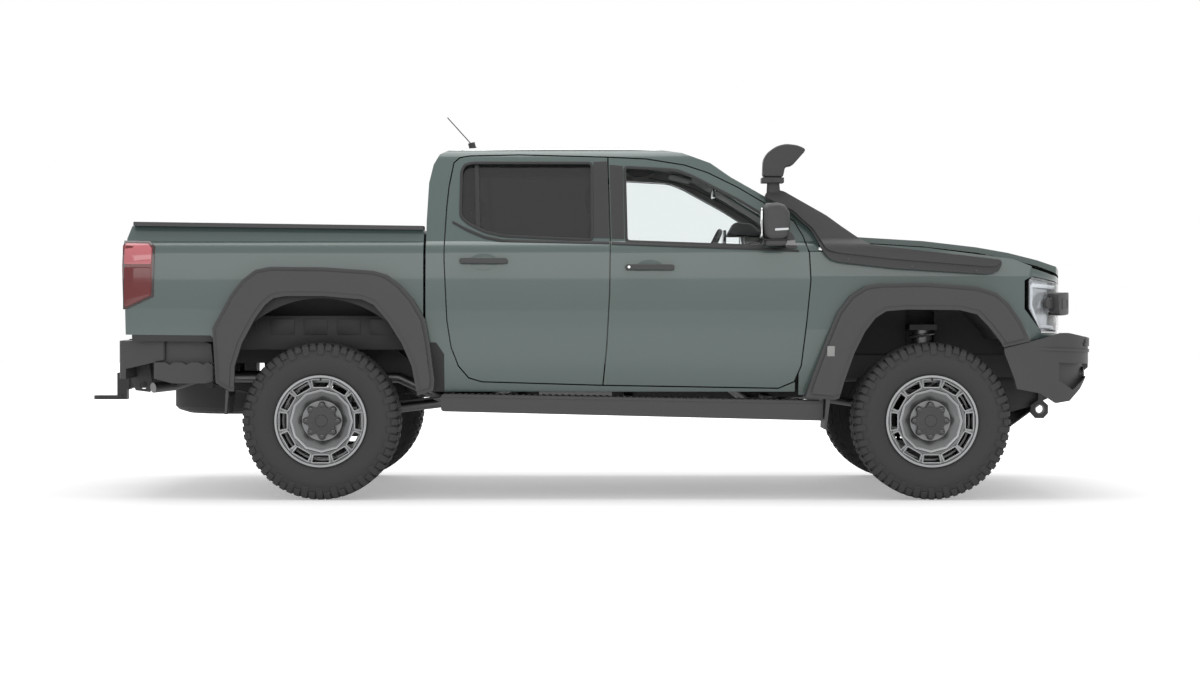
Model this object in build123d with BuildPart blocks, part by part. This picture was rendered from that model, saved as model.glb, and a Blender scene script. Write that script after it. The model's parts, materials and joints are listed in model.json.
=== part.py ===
from build123d import *
import math
import os

# A lifted double-cab off-road pickup, in millimetres.
# +X is forward, +Y is left and +Z is up, with the ground at zero.

# Driving dimensions
WHEELBASE = 3270.0
REAR_REACH = 1409.0
FRONT_REACH = 905.0
TRACK_HALF = 855.0
TYRE_RADIUS = 421.0
TYRE_WIDTH = 275.0
BEAD_RADIUS = 228.6
SPARE_RADIUS = 375.0
SPARE_WIDTH = 228.0
SPARE_BEAD = 203.0
SPARE_STATION = -560.0
SPARE_Z = 545.0
KINGPIN_HALF = 775.0
RAIL_INNER = 345.0
RAIL_OUTER = 420.0
PANEL_GAP = 7.0
SEAT_GAP = 0.3
RUNNING_GAP = 0.05

# The drawing's wheelbase: stations below are in mm ahead of the rear axle on it.
# Bed stations follow the rear axle, nose stations follow the front axle, and cab
# stations share a change of wheelbase between them.
DRAWN_WHEELBASE = 3270.0
CAB_REAR = 561.0
DOOR_FRONT = 2623.0
X_REAR = (REAR_REACH - WHEELBASE - FRONT_REACH) / 2
X_FRONT = X_REAR + WHEELBASE
AXLE_Z = TYRE_RADIUS


def bed(station):
    return X_REAR + station


def nose(station):
    return X_FRONT + station - DRAWN_WHEELBASE


def cab(station):
    share = (station - CAB_REAR) / (DOOR_FRONT - CAB_REAR)
    return bed(CAB_REAR) + share * (nose(DOOR_FRONT) - bed(CAB_REAR))


def at(place, points):
    """Points of a side view, with their stations turned into x."""
    return [(place(station), z) for station, z in points]


# Drawing helpers, used inside a part
def side_face(points, radius=0.0, offset_by=0.0):
    """A closed outline in the XZ plane, with its corners rounded."""
    with BuildSketch(Plane.XZ) as face:
        with BuildLine():
            if radius:
                FilletPolyline(*points, radius=radius, close=True)
            else:
                Polyline(*points, close=True)
        make_face()
        if offset_by:
            offset(amount=offset_by, kind=Kind.INTERSECTION)
    return face.sketch


def side_slab(points, y_low, y_high, radius=0.0, mode=Mode.ADD, offset_by=0.0):
    """The outline pushed across the vehicle from y_low to y_high."""
    face = side_face(points, radius, offset_by).moved(Location((0, y_high, 0)))
    extrude(face, amount=y_high - y_low, mode=mode)


def side_prism(points, y_low, y_high, offset_by=0.0):
    """The same slab as a loose solid, to be combined before it is added."""
    face = side_face(points, 0.0, offset_by).moved(Location((0, y_high, 0)))
    return extrude(face, amount=y_high - y_low, mode=Mode.PRIVATE)


def box(x_low, x_high, y_low, y_high, z_low, z_high, mode=Mode.ADD):
    with Locations((x_low, y_low, z_low)):
        Box(x_high - x_low, y_high - y_low, z_high - z_low, align=(Align.MIN,) * 3, mode=mode)


def rod(start, end, radius, mode=Mode.ADD):
    """A round bar from start to end."""
    way = Vector(*end) - Vector(*start)
    with BuildSketch(Plane(origin=start, z_dir=way)) as face:
        Circle(radius)
    extrude(face.sketch, amount=way.length, mode=mode)


def pipe(points, radius, bend, mode=Mode.ADD):
    """A round bar bent along points."""
    with BuildLine() as route:
        FilletPolyline(*points, radius=bend)
    start = Vector(*points[0])
    way = Vector(*points[1]) - start
    with BuildSketch(Plane(origin=start, z_dir=way)) as face:
        Circle(radius)
    sweep(face.sketch, path=route.line, mode=mode)


def other_side():
    mirror(about=Plane.XZ)


# Body section: half widths and heights that the outer skin passes through
SILL_HALF = 905.0
WAIST_HALF = 951.0
SHOULDER_HALF = 940.0
BELT_HALF = 902.0
CANT_HALF = 712.0
ROOF_EDGE_HALF = 648.0
SILL_Z = 560.0
WAIST_Z = 930.0
SHOULDER_Z = 1320.0
BELT_Z = 1385.0
CANT_Z = 1838.0
ROOF_EDGE_Z = 1889.0
ROOF_Z = 1933.0
SECTION_FLOOR_Z = 300.0
SHOULDER_MID_HALF = (SHOULDER_HALF + BELT_HALF) / 2 + 7.0
SHOULDER_MID_Z = (SHOULDER_Z + BELT_Z) / 2 + 4.1
CANT_MID_HALF = (CANT_HALF + ROOF_EDGE_HALF) / 2 + 6.5
CANT_MID_Z = (CANT_Z + ROOF_EDGE_Z) / 2 + 8.2


def body_form(lower_inset, upper_inset, roof_inset):
    """The body's section, moved inwards by the insets, along the whole vehicle."""
    shoulder_inset = (lower_inset + upper_inset) / 2
    with BuildSketch(Plane.YZ.offset(bed(-1200))) as face:
        with BuildLine():
            Polyline(
                (0, SECTION_FLOOR_Z),
                (SILL_HALF - lower_inset, SECTION_FLOOR_Z),
                (SILL_HALF - lower_inset, SILL_Z),
            )
            ThreePointArc(
                (SILL_HALF - lower_inset, SILL_Z),
                (WAIST_HALF - lower_inset, WAIST_Z),
                (SHOULDER_HALF - lower_inset, SHOULDER_Z),
            )
            ThreePointArc(
                (SHOULDER_HALF - lower_inset, SHOULDER_Z),
                (SHOULDER_MID_HALF - shoulder_inset, SHOULDER_MID_Z),
                (BELT_HALF - upper_inset, BELT_Z),
            )
            Line((BELT_HALF - upper_inset, BELT_Z), (CANT_HALF - upper_inset, CANT_Z - roof_inset))
            ThreePointArc(
                (CANT_HALF - upper_inset, CANT_Z - roof_inset),
                (CANT_MID_HALF - upper_inset, CANT_MID_Z - roof_inset),
                (ROOF_EDGE_HALF - upper_inset, ROOF_EDGE_Z - roof_inset),
            )
            ThreePointArc(
                (ROOF_EDGE_HALF - upper_inset, ROOF_EDGE_Z - roof_inset),
                (0, ROOF_Z - roof_inset),
                (upper_inset - ROOF_EDGE_HALF, ROOF_EDGE_Z - roof_inset),
            )
            ThreePointArc(
                (upper_inset - ROOF_EDGE_HALF, ROOF_EDGE_Z - roof_inset),
                (upper_inset - CANT_MID_HALF, CANT_MID_Z - roof_inset),
                (upper_inset - CANT_HALF, CANT_Z - roof_inset),
            )
            Line((upper_inset - CANT_HALF, CANT_Z - roof_inset), (upper_inset - BELT_HALF, BELT_Z))
            ThreePointArc(
                (upper_inset - BELT_HALF, BELT_Z),
                (shoulder_inset - SHOULDER_MID_HALF, SHOULDER_MID_Z),
                (lower_inset - SHOULDER_HALF, SHOULDER_Z),
            )
            ThreePointArc(
                (lower_inset - SHOULDER_HALF, SHOULDER_Z),
                (lower_inset - WAIST_HALF, WAIST_Z),
                (lower_inset - SILL_HALF, SILL_Z),
            )
            Polyline(
                (lower_inset - SILL_HALF, SILL_Z),
                (lower_inset - SILL_HALF, SECTION_FLOOR_Z),
                (0, SECTION_FLOOR_Z),
            )
        make_face()
    return extrude(face.sketch, amount=nose(4300) - bed(-1200), mode=Mode.PRIVATE)


SKIN_DEPTH = 22.0
REBATE_DEPTH = 44.0
REBATE_LOW_DEPTH = 72.0
DOOR_DEPTH = 118.0
FRAME_DEPTH = 66.0
GLASS_DEPTH = 14.0
GLASS_THICKNESS = 5.0
OUTER_FORM = body_form(0, 0, 0)
SKIN_FORM = body_form(SKIN_DEPTH, SKIN_DEPTH, SKIN_DEPTH)
REBATE_FORM = body_form(REBATE_LOW_DEPTH, REBATE_DEPTH, REBATE_DEPTH)
CABIN_FORM = body_form(DOOR_DEPTH, FRAME_DEPTH, REBATE_DEPTH)
GLASS_OUTER_FORM = body_form(GLASS_DEPTH, GLASS_DEPTH, GLASS_DEPTH)
GLASS_INNER_FORM = body_form(*[GLASS_DEPTH + GLASS_THICKNESS] * 3)

# Door and window outlines in the side view
SPLIT_LINE = at(cab, [(1537, 1848), (1550, 1390), (1546, 1104), (1530, 817), (1510, 612)])
REAR_DOOR_LINE = at(
    cab,
    [
        (860, 631), (790, 652), (735, 717), (697, 817), (675, 961), (660, 1284), (660, 1390),
        (667, 1567), (677, 1686), (700, 1816), (731, 1845), (785, 1855), (1056, 1861),
    ],
) + SPLIT_LINE
FRONT_DOOR_LINE = SPLIT_LINE[::-1] + at(
    cab,
    [
        (1745, 1838), (1953, 1804), (2078, 1762), (2241, 1680), (2387, 1591), (2539, 1494),
        (2586, 1411), (2616, 1319), (2623, 1176), (2602, 961), (2573, 717), (2537, 632), (2452, 596),
    ],
)
REAR_WINDOW_LINE = at(
    cab,
    [
        (746, 1522), (746, 1770), (762, 1803), (804, 1813), (1446, 1812), (1450, 1396),
        (973, 1418), (875, 1440), (785, 1486),
    ],
)
FRONT_WINDOW_LINE = at(
    cab,
    [
        (1640, 1388), (1632, 1789), (1905, 1774), (1985, 1744), (2241, 1608), (2366, 1530),
        (2372, 1362),
    ],
)
WINDOW_CORNER = 9.0
INNER_STEP = 30.0
DOOR_REACH = 1100.0
DOOR_INNER_Y = 560.0


def door_prism(line, offset_by, sign):
    """A door or window outline pushed through one side of the body."""
    y_low, y_high = sorted((sign * DOOR_INNER_Y, sign * DOOR_REACH))
    return side_prism(line, y_low, y_high, offset_by)


# Door hinges: an eye on the body's pillar round a pin in a pocket of the door
HINGE_HALF = 941.0
FRONT_HINGE_X = cab(2566)
REAR_HINGE_X = cab(1501)
HINGE_HEIGHTS = (970.0, 1090.0)
HINGE_PIN = 4.0
HINGE_EYE = 7.0
HINGE_EYE_HALF = 20.0
HINGE_CLEAR = 6.0
STRAP_HALF = 5.0
STRAP_NECK = 32.0
STRAP_AHEAD = 32.0
STRAP_DEPTH = 66.0
POCKET_BEHIND = 12.0
POCKET_AHEAD = 60.0


def make_door(line, window, hinge_x, sign):
    """An outer skin with a thicker inner panel stepped in from its edge."""
    pocket = HINGE_EYE_HALF + HINGE_CLEAR
    pocket_floor = HINGE_HALF - STRAP_DEPTH - HINGE_CLEAR
    y_low, y_high = sorted((sign * pocket_floor, sign * (HINGE_HALF + HINGE_EYE + 0.5)))
    with BuildPart() as door:
        add(door_prism(line, -PANEL_GAP / 2, sign) & (OUTER_FORM - SKIN_FORM))
        add(door_prism(line, -INNER_STEP, sign) & (SKIN_FORM - CABIN_FORM))
        add(door_prism(window, 0, sign), mode=Mode.SUBTRACT)
        for z in HINGE_HEIGHTS:
            box(hinge_x - POCKET_BEHIND, hinge_x + POCKET_AHEAD, y_low, y_high, z - pocket, z + pocket,
                Mode.SUBTRACT)
            y = sign * HINGE_HALF
            rod((hinge_x, y, z - pocket - 8), (hinge_x, y, z + pocket + 8), HINGE_PIN)
    return door.part


def hinge_strap(hinge_x, z, sign):
    """The body's half of a door hinge, a gooseneck from the pillar to the eye round the pin."""
    neck = sign * (HINGE_HALF - STRAP_NECK)
    root = sign * (HINGE_HALF - STRAP_DEPTH)
    with BuildSketch(Plane.XY.offset(z - HINGE_EYE_HALF)) as face:
        with BuildLine():
            Polyline(
                (hinge_x - STRAP_HALF, sign * HINGE_HALF), (hinge_x + STRAP_HALF, sign * HINGE_HALF),
                (hinge_x + STRAP_HALF, neck + sign * 3), (hinge_x + STRAP_AHEAD + 6, root),
                (hinge_x + STRAP_AHEAD - 6, root), (hinge_x - STRAP_HALF, neck - sign * 3), close=True,
            )
        make_face()
        with Locations((hinge_x, sign * HINGE_HALF)):
            Circle(HINGE_EYE)
            Circle(HINGE_PIN + RUNNING_GAP, mode=Mode.SUBTRACT)
    extrude(face.sketch, amount=2 * HINGE_EYE_HALF)


def make_door_glass(window, sign):
    with BuildPart() as glass:
        add(door_prism(window, -SEAT_GAP, sign) & (GLASS_OUTER_FORM - GLASS_INNER_FORM))
    return glass.part


parts = {}
SIDES = {"left": 1, "right": -1}
for side, sign in SIDES.items():
    parts[f"front_door_{side}"] = make_door(FRONT_DOOR_LINE, FRONT_WINDOW_LINE, FRONT_HINGE_X, sign)
    parts[f"rear_door_{side}"] = make_door(REAR_DOOR_LINE, REAR_WINDOW_LINE, REAR_HINGE_X, sign)
    parts[f"front_door_glass_{side}"] = make_door_glass(FRONT_WINDOW_LINE, sign)
    parts[f"rear_door_glass_{side}"] = make_door_glass(REAR_WINDOW_LINE, sign)

# Cab shell
CAB_FLOOR_Z = 680.0
CAB_FLOOR_TOP = 730.0
CAB_LINE = at(
    cab,
    [
        (561, 680), (561, 1500), (568, 1705), (590, 1806), (622, 1864), (680, 1893), (780, 1908),
        (1000, 1940), (1500, 1940), (1942, 1872), (2094, 1815), (2203, 1737), (2365, 1642),
        (2660, 1470), (2666, 1338), (2744, 1328), (2744, 1285), (2690, 1275), (2690, 1180), (2640, 1100),
        (2640, 680),
    ],
)
CABIN_LINE = at(
    cab,
    [
        (625, 730), (625, 1500), (632, 1705), (655, 1790), (700, 1842), (1000, 1900), (1500, 1900),
        (1920, 1826), (2060, 1770), (2170, 1700), (2330, 1607), (2600, 1440), (2600, 730),
    ],
)
SILL_LINE = at(cab, [(575, 578), (575, 690), (2640, 690), (2640, 578)])
FENDER_OVERLAY = at(cab, [(2540, 500), (2540, 1333), (2690, 1333), (2690, 1342), (2760, 1342), (2760, 500)])
HOOD_AXIS = (nose(2724), 1372.0)
HOOD_PIN = 6.0
HOOD_EYE = 11.0
HOOD_HINGE_HALF = 710.0
TUNNEL_HALF = 190.0
TUNNEL_WALL = 20.0
TUNNEL_TOP = 830.0
SILL_INNER = 790.0
SCREEN_BASE = (2640.0, 1482.0)
SCREEN_TOP = (2150.0, 1776.0)
SCREEN_BASE_HALF = 745.0
SCREEN_TOP_HALF = 590.0
BACKLIGHT_BASE_Z = 1450.0
BACKLIGHT_TOP_Z = 1780.0


def screen_face(grow):
    """The windscreen's outline on its own slope."""
    x_base, x_top = cab(SCREEN_BASE[0]), cab(SCREEN_TOP[0])
    rise = SCREEN_TOP[1] - SCREEN_BASE[1]
    slope = Vector(x_top - x_base, 0, rise)
    plane = Plane(origin=(x_base, 0, SCREEN_BASE[1]), x_dir=(0, 1, 0), z_dir=slope.cross(Vector(0, -1, 0)))
    height = slope.length
    with BuildSketch(plane) as face:
        with BuildLine():
            FilletPolyline(
                (-SCREEN_BASE_HALF, 20), (SCREEN_BASE_HALF, 20), (SCREEN_TOP_HALF, height),
                (-SCREEN_TOP_HALF, height), radius=40, close=True,
            )
        make_face()
        if grow:
            offset(amount=grow)
    return face.sketch


def backlight_face(grow):
    with BuildSketch(Plane.YZ.offset(cab(CAB_REAR))) as face:
        with BuildLine():
            FilletPolyline(
                (-690, BACKLIGHT_BASE_Z), (690, BACKLIGHT_BASE_Z), (610, BACKLIGHT_TOP_Z),
                (-610, BACKLIGHT_TOP_Z), radius=45, close=True,
            )
        make_face()
        if grow:
            offset(amount=grow)
    return face.sketch


with BuildPart() as cab_shell:
    add(side_prism(CAB_LINE, -DOOR_REACH, DOOR_REACH) & OUTER_FORM)
    add(side_prism(CABIN_LINE, -DOOR_REACH, DOOR_REACH) & CABIN_FORM, mode=Mode.SUBTRACT)
    for sign in (1, -1):
        add(side_prism(SILL_LINE, *sorted((sign * SILL_INNER, sign * DOOR_REACH))) & OUTER_FORM)
        for line in (FRONT_DOOR_LINE, REAR_DOOR_LINE):
            add(door_prism(line, PANEL_GAP / 2, sign) - REBATE_FORM, mode=Mode.SUBTRACT)
            add(door_prism(line, PANEL_GAP - INNER_STEP, sign), mode=Mode.SUBTRACT)
    add(side_prism(FENDER_OVERLAY, -DOOR_REACH, DOOR_REACH) - REBATE_FORM, mode=Mode.SUBTRACT)
    box(cab(1750), cab(2640), -TUNNEL_HALF, TUNNEL_HALF, CAB_FLOOR_Z, TUNNEL_TOP)
    box(cab(1750) + TUNNEL_WALL, cab(2700), TUNNEL_WALL - TUNNEL_HALF, TUNNEL_HALF - TUNNEL_WALL,
        600, TUNNEL_TOP - TUNNEL_WALL, Mode.SUBTRACT)
    extrude(screen_face(0), amount=150, both=True, mode=Mode.SUBTRACT)
    extrude(backlight_face(0), amount=150, both=True, mode=Mode.SUBTRACT)
    for sign in (1, -1):
        for hinge_x in (FRONT_HINGE_X, REAR_HINGE_X):
            for z in HINGE_HEIGHTS:
                hinge_strap(hinge_x, z, sign)
    # Hood hinge brackets stand on the cowl
    hood_x, hood_z = HOOD_AXIS
    for sign in (1, -1):
        y_low, y_high = sorted((sign * (HOOD_HINGE_HALF + 9.3), sign * (HOOD_HINGE_HALF + 19.3)))
        rod((hood_x, y_low, hood_z), (hood_x, y_high, hood_z), HOOD_EYE)
        box(hood_x - 8, hood_x + 8, y_low, y_high, 1325, hood_z)
        rod((hood_x, y_low, hood_z), (hood_x, y_high, hood_z), HOOD_PIN + RUNNING_GAP, Mode.SUBTRACT)
parts["cab_shell"] = cab_shell.part


# Cargo bed: an open box with double sides, its floor above the frame
BED_FRONT = 548.0
BED_REAR = -1022.0
BED_FLOOR_Z = 925.0
BED_FLOOR_TOP = 985.0
BED_TOP_Z = 1462.0
BED_INNER_HALF = 760.0
BED_HEADBOARD = 45.0
ARCH_RADIUS = 558.0
ARCH_CLEAR_Z = 1092.0
BED_LINE = at(
    bed,
    [
        (548, 1446), (-1022, 1468), (-1044, 1400), (-1050, 1250), (-1046, 1020), (-1044, 884),
        (-590, 880), (-560, 850), (560, 850), (560, 905), (548, 925),
    ],
)
LAMP_SEAT_HALF = 775.0
TAIL_LAMP_LINE = at(
    bed, [(-1100, 1390), (-920, 1388), (-888, 1357), (-894, 1087), (-1038, 1019), (-1100, 1019)]
)
TAILGATE_HALF = 753.0
TAILGATE_THICKNESS = 55.0
TAILGATE_REAR = -1044.0
TAILGATE_LOW = 905.0
TAILGATE_GAP = 8.0


GATE_AXIS_X = bed(TAILGATE_REAR + 17)
GATE_AXIS_Z = 908.0
GATE_PIN = 8.0


def arch_cut(x_axle, radius, low_half, high_half):
    """A wheel arch pushed through both body sides."""
    for sign in (1, -1):
        y_low, y_high = sorted((sign * low_half, sign * high_half))
        rod((x_axle, y_low, AXLE_Z + ARCH_RISE), (x_axle, y_high, AXLE_Z + ARCH_RISE), radius, Mode.SUBTRACT)


ARCH_RISE = 100.0
with BuildPart() as cargo_bed:
    add(side_prism(BED_LINE, -DOOR_REACH, DOOR_REACH) & OUTER_FORM)
    box(bed(-1200), bed(BED_FRONT - BED_HEADBOARD), -BED_INNER_HALF, BED_INNER_HALF,
        BED_FLOOR_TOP, 1600, Mode.SUBTRACT)
    box(bed(-1200), bed(700), -BED_INNER_HALF, BED_INNER_HALF, 800, BED_FLOOR_Z, Mode.SUBTRACT)
    box(bed(-1200), bed(TAILGATE_REAR + TAILGATE_THICKNESS + 12), -BED_INNER_HALF, BED_INNER_HALF,
        800, 1600, Mode.SUBTRACT)
    arch_cut(bed(0), ARCH_RADIUS, 600, 1000)
    # The wheel boxes stand inside the bed over each tyre
    for sign in (1, -1):
        y_low, y_high = sorted((sign * 560, sign * 800))
        with BuildSketch(Plane.XZ.offset(-y_high)) as hump:
            with BuildLine():
                FilletPolyline(
                    (bed(-594), 890), (bed(-430), 1130), (bed(430), 1130), (bed(594), 890),
                    radius=40, close=True,
                )
            make_face()
        extrude(hump.sketch, amount=y_high - y_low)
        y_low, y_high = sorted((sign * 575, sign * 940))
        with BuildSketch(Plane.XZ.offset(-y_high)) as hollow:
            with BuildLine():
                FilletPolyline(
                    (bed(-552), 800), (bed(-552), 930), (bed(-422), 1115), (bed(422), 1115), (bed(552), 930),
                    (bed(552), 800), radius=40, close=True,
                )
            make_face()
        extrude(hollow.sketch, amount=y_high - y_low, mode=Mode.SUBTRACT)
    for sign in (1, -1):
        y_low, y_high = sorted((sign * LAMP_SEAT_HALF, sign * DOOR_REACH))
        add(side_prism(TAIL_LAMP_LINE, y_low, y_high), mode=Mode.SUBTRACT)
    rod((GATE_AXIS_X, -774, GATE_AXIS_Z), (GATE_AXIS_X, 774, GATE_AXIS_Z), GATE_PIN + RUNNING_GAP, Mode.SUBTRACT)
parts["cargo_bed"] = cargo_bed.part

with BuildPart() as bed_rails:
    for sign in (1, -1):
        y_low, y_high = sorted((sign * (BED_INNER_HALF + 4), sign * 905))
        side_slab(
            at(bed, [(545, 1446.5), (545, 1468), (-1010, 1490), (-1010, 1468.3)]),
            y_low, y_high,
        )
parts["bed_rails"] = bed_rails.part

# Tailgate, hinged along its foot
with BuildPart() as tailgate:
    box(bed(TAILGATE_REAR), bed(TAILGATE_REAR + TAILGATE_THICKNESS), -TAILGATE_HALF, TAILGATE_HALF,
        TAILGATE_LOW + 10, 1466)
    box(bed(TAILGATE_REAR) + 12, bed(TAILGATE_REAR) + 42, -200, 200, 1300, 1380, Mode.SUBTRACT)
    fillet(tailgate.edges().filter_by(Axis.Y).group_by(Axis.Z)[-1], radius=14)
    for sign in (1, -1):
        rod((GATE_AXIS_X, sign * 700, GATE_AXIS_Z), (GATE_AXIS_X, sign * TAILGATE_HALF, GATE_AXIS_Z), 11)
        rod((GATE_AXIS_X, sign * TAILGATE_HALF, GATE_AXIS_Z), (GATE_AXIS_X, sign * 772, GATE_AXIS_Z), GATE_PIN)
parts["tailgate"] = tailgate.part

# Ladder frame
STRUT_HALF = 545.0
TOWER_Z = 905.0
RAIL_LINE = at(
    bed, [(-1066, 850), (-1066, 720), (250, 720), (480, 530), (800, 530), (800, 670), (520, 670), (290, 850)]
)
RAIL_MID = [bed(790), nose(2500), 530, 670]
RAIL_NOSE_LINE = at(nose, [(2490, 670), (2490, 530), (2620, 530), (2760, 640), (3930, 640), (3930, 770), (2740, 770), (2640, 670)])
with BuildPart() as ladder_frame:
    side_slab(RAIL_LINE, RAIL_INNER, RAIL_OUTER)
    box(RAIL_MID[0], RAIL_MID[1], RAIL_INNER, RAIL_OUTER, RAIL_MID[2], RAIL_MID[3])
    side_slab(RAIL_NOSE_LINE, RAIL_INNER, RAIL_OUTER)
    # Spring hangers stand out from the rails
    box(bed(655), bed(725), RAIL_OUTER, 600, 566, 640)
    box(bed(-690), bed(-620), RAIL_OUTER, 600, 730, 800)
    # Cab and bed mounts
    for station in (720, 1500, 2350):
        rod((cab(station), 382, 670), (cab(station), 382, CAB_FLOOR_Z), 45)
    for station in (-900, -350, 200):
        rod((bed(station), 382, 850), (bed(station), 382, BED_FLOOR_Z), 35)
    # Suspension towers
    box(nose(3270 - 75), nose(3270 + 75), RAIL_OUTER - 5, STRUT_HALF + 60, TOWER_Z, TOWER_Z + 30)
    side_slab(at(nose, [(3195, 640), (3345, 640), (3345, 935), (3195, 935)]), 400, RAIL_OUTER)
    other_side()
    for x, low, high in (
        (bed(-1032), 740, 840), (bed(SPARE_STATION), 735, 835), (bed(265), 735, 835), (bed(900), 585, 665),
        (cab(2120), 500, 549), (nose(3020), 645, 700), (nose(3850), 650, 760),
    ):
        box(x - 30, x + 30, -RAIL_INNER, RAIL_INNER, low, high)
    # The winch rod that the spare wheel hangs from
    rod((bed(SPARE_STATION), 0, SPARE_Z + 9 + SEAT_GAP), (bed(SPARE_STATION), 0, 740), 14)
    rod((bed(SPARE_STATION), 0, SPARE_Z + 9 + SEAT_GAP), (bed(SPARE_STATION), 0, SPARE_Z + 17), 60)
parts["ladder_frame"] = ladder_frame.part

# Rear suspension
SPRING_HALF = 560.0
SPRING_WIDTH = 70.0


def leaf(x_front, x_rear, drop):
    """One curved leaf, thinner ones lying below the main leaf."""
    def height(x):
        share = (x - bed(0)) / 690.0
        return 500.0 + (44.0 if x > bed(0) else 118.0) * share * share - drop

    x_mid = (x_front + x_rear) / 2
    with BuildSketch(Plane.XZ.offset(-SPRING_HALF - SPRING_WIDTH / 2)) as face:
        with BuildLine():
            Spline((x_rear, height(x_rear)), (x_mid, height(x_mid)), (x_front, height(x_front)))
            Line((x_front, height(x_front)), (x_front, height(x_front) + 10))
            Spline((x_front, height(x_front) + 10), (x_mid, height(x_mid) + 10), (x_rear, height(x_rear) + 10))
            Line((x_rear, height(x_rear) + 10), (x_rear, height(x_rear)))
        make_face()
    extrude(face.sketch, amount=SPRING_WIDTH)


AXLE_TUBE = 45.0
SPRING_LOW = SPRING_HALF - SPRING_WIDTH / 2
SPRING_HIGH = SPRING_HALF + SPRING_WIDTH / 2
with BuildPart() as leaf_springs:
    leaf(bed(680), bed(-650), 0)
    leaf(bed(430), bed(-430), 9)
    leaf(bed(270), bed(-270), 18)
    box(bed(-55), bed(55), SPRING_LOW, SPRING_HIGH, AXLE_Z + AXLE_TUBE + SEAT_GAP, 500)
    rod((bed(690), SPRING_LOW, 540), (bed(690), SPRING_HIGH, 540), 25.7)
    rod((bed(-655), SPRING_LOW, 610), (bed(-655), SPRING_HIGH, 610), 25)
    box(bed(-680), bed(-630), SPRING_LOW - 14, SPRING_LOW, 590, 729.7)
    box(bed(-680), bed(-630), SPRING_HIGH, SPRING_HIGH + 14, 590, 729.7)
    other_side()
parts["leaf_springs"] = leaf_springs.part

SPINDLE = 30.0
PINION_START = (bed(90), 0, AXLE_Z + 10)
PINION_END = (bed(230), 0, AXLE_Z + 22)
with BuildPart() as rear_axle:
    rod((bed(0), -735, AXLE_Z), (bed(0), 735, AXLE_Z), AXLE_TUBE)
    rod((bed(0), -TRACK_HALF - 20, AXLE_Z), (bed(0), TRACK_HALF + 20, AXLE_Z), SPINDLE)
    with Locations((bed(0), 0, AXLE_Z)):
        Sphere(145)
    rod(PINION_START, PINION_END, 62)
    for sign in (1, -1):
        rod((bed(0), sign * 745, AXLE_Z), (bed(0), sign * 812, AXLE_Z), 165)
parts["rear_axle"] = rear_axle.part


# Front suspension and steering
RACK_X = nose(3270 - 245)
RACK_RADIUS = 32.0
TIE_EYE_X = nose(3270 - 100)
TIE_EYE_HALF = 725.0
TIE_Z = 372.0
ARM_PIVOT_HALF = 432.0
LOWER_ARM_Z = 285.0
UPPER_ARM_Z = 575.0
LOWER_ARM_THICKNESS = 26.0
STRUT_EYE = 15.0
STRUT_FOOT_Z = LOWER_ARM_Z + LOWER_ARM_THICKNESS / 2 + STRUT_EYE + SEAT_GAP
PIN_RADIUS = 12.0


def wishbone(z, spread, thickness):
    """An A arm from its frame pivots to its ball joint."""
    with BuildSketch(Plane.XY.offset(z - thickness / 2)) as face:
        with BuildLine():
            Polyline(
                (nose(3270) - spread - 22, ARM_PIVOT_HALF), (nose(3270) - 24, KINGPIN_HALF + 20),
                (nose(3270) + 24, KINGPIN_HALF + 20), (nose(3270) + spread + 22, ARM_PIVOT_HALF),
                (nose(3270) + spread - 22, ARM_PIVOT_HALF), (nose(3270) + 20, KINGPIN_HALF - 60),
                (nose(3270) - 20, KINGPIN_HALF - 60), (nose(3270) - spread + 22, ARM_PIVOT_HALF),
                close=True,
            )
        make_face()
        with Locations((nose(3270), KINGPIN_HALF)):
            Circle(PIN_RADIUS + RUNNING_GAP, mode=Mode.SUBTRACT)
    extrude(face.sketch, amount=thickness)
    for way in (-1, 1):
        x = nose(3270) + way * spread
        rod((x - 26.7, ARM_PIVOT_HALF, z), (x + 26.7, ARM_PIVOT_HALF, z), thickness / 2 + 5)


with BuildPart() as control_arms:
    wishbone(LOWER_ARM_Z, 165, LOWER_ARM_THICKNESS)
    box(nose(3270) - 115, nose(3270) + 115, STRUT_HALF - 16, STRUT_HALF + 16,
        LOWER_ARM_Z - LOWER_ARM_THICKNESS / 2, LOWER_ARM_Z + LOWER_ARM_THICKNESS / 2)
    wishbone(UPPER_ARM_Z, 150, 20)
    other_side()
parts["control_arms"] = control_arms.part

with BuildPart() as front_subframe:
    for z, spread, reach in ((LOWER_ARM_Z, 165, 6), (UPPER_ARM_Z, 150, 6)):
        for way in (-1, 1):
            x = nose(3270) + way * spread
            box(x - 34, x - 27, 330, ARM_PIVOT_HALF + reach, z - 24, z + 40)
            box(x + 27, x + 34, 330, ARM_PIVOT_HALF + reach, z - 24, z + 40)
    box(nose(3270 - 200), nose(3270 - 130), 260, 400, 262, 639.7)
    box(nose(3270 + 130), nose(3270 + 200), 260, 400, 262, 639.7)
    box(RACK_X, nose(3270 - 200), 265, 305, TIE_Z - 30, TIE_Z + 30)
    rod((RACK_X, 250, TIE_Z), (RACK_X, 320, TIE_Z), RACK_RADIUS + SEAT_GAP, Mode.SUBTRACT)
    other_side()
    box(nose(3270 - 200), nose(3270 - 130), -400, 400, 262, 320)
    box(nose(3270 + 130), nose(3270 + 200), -400, 400, 262, 320)
parts["front_subframe"] = front_subframe.part

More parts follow.
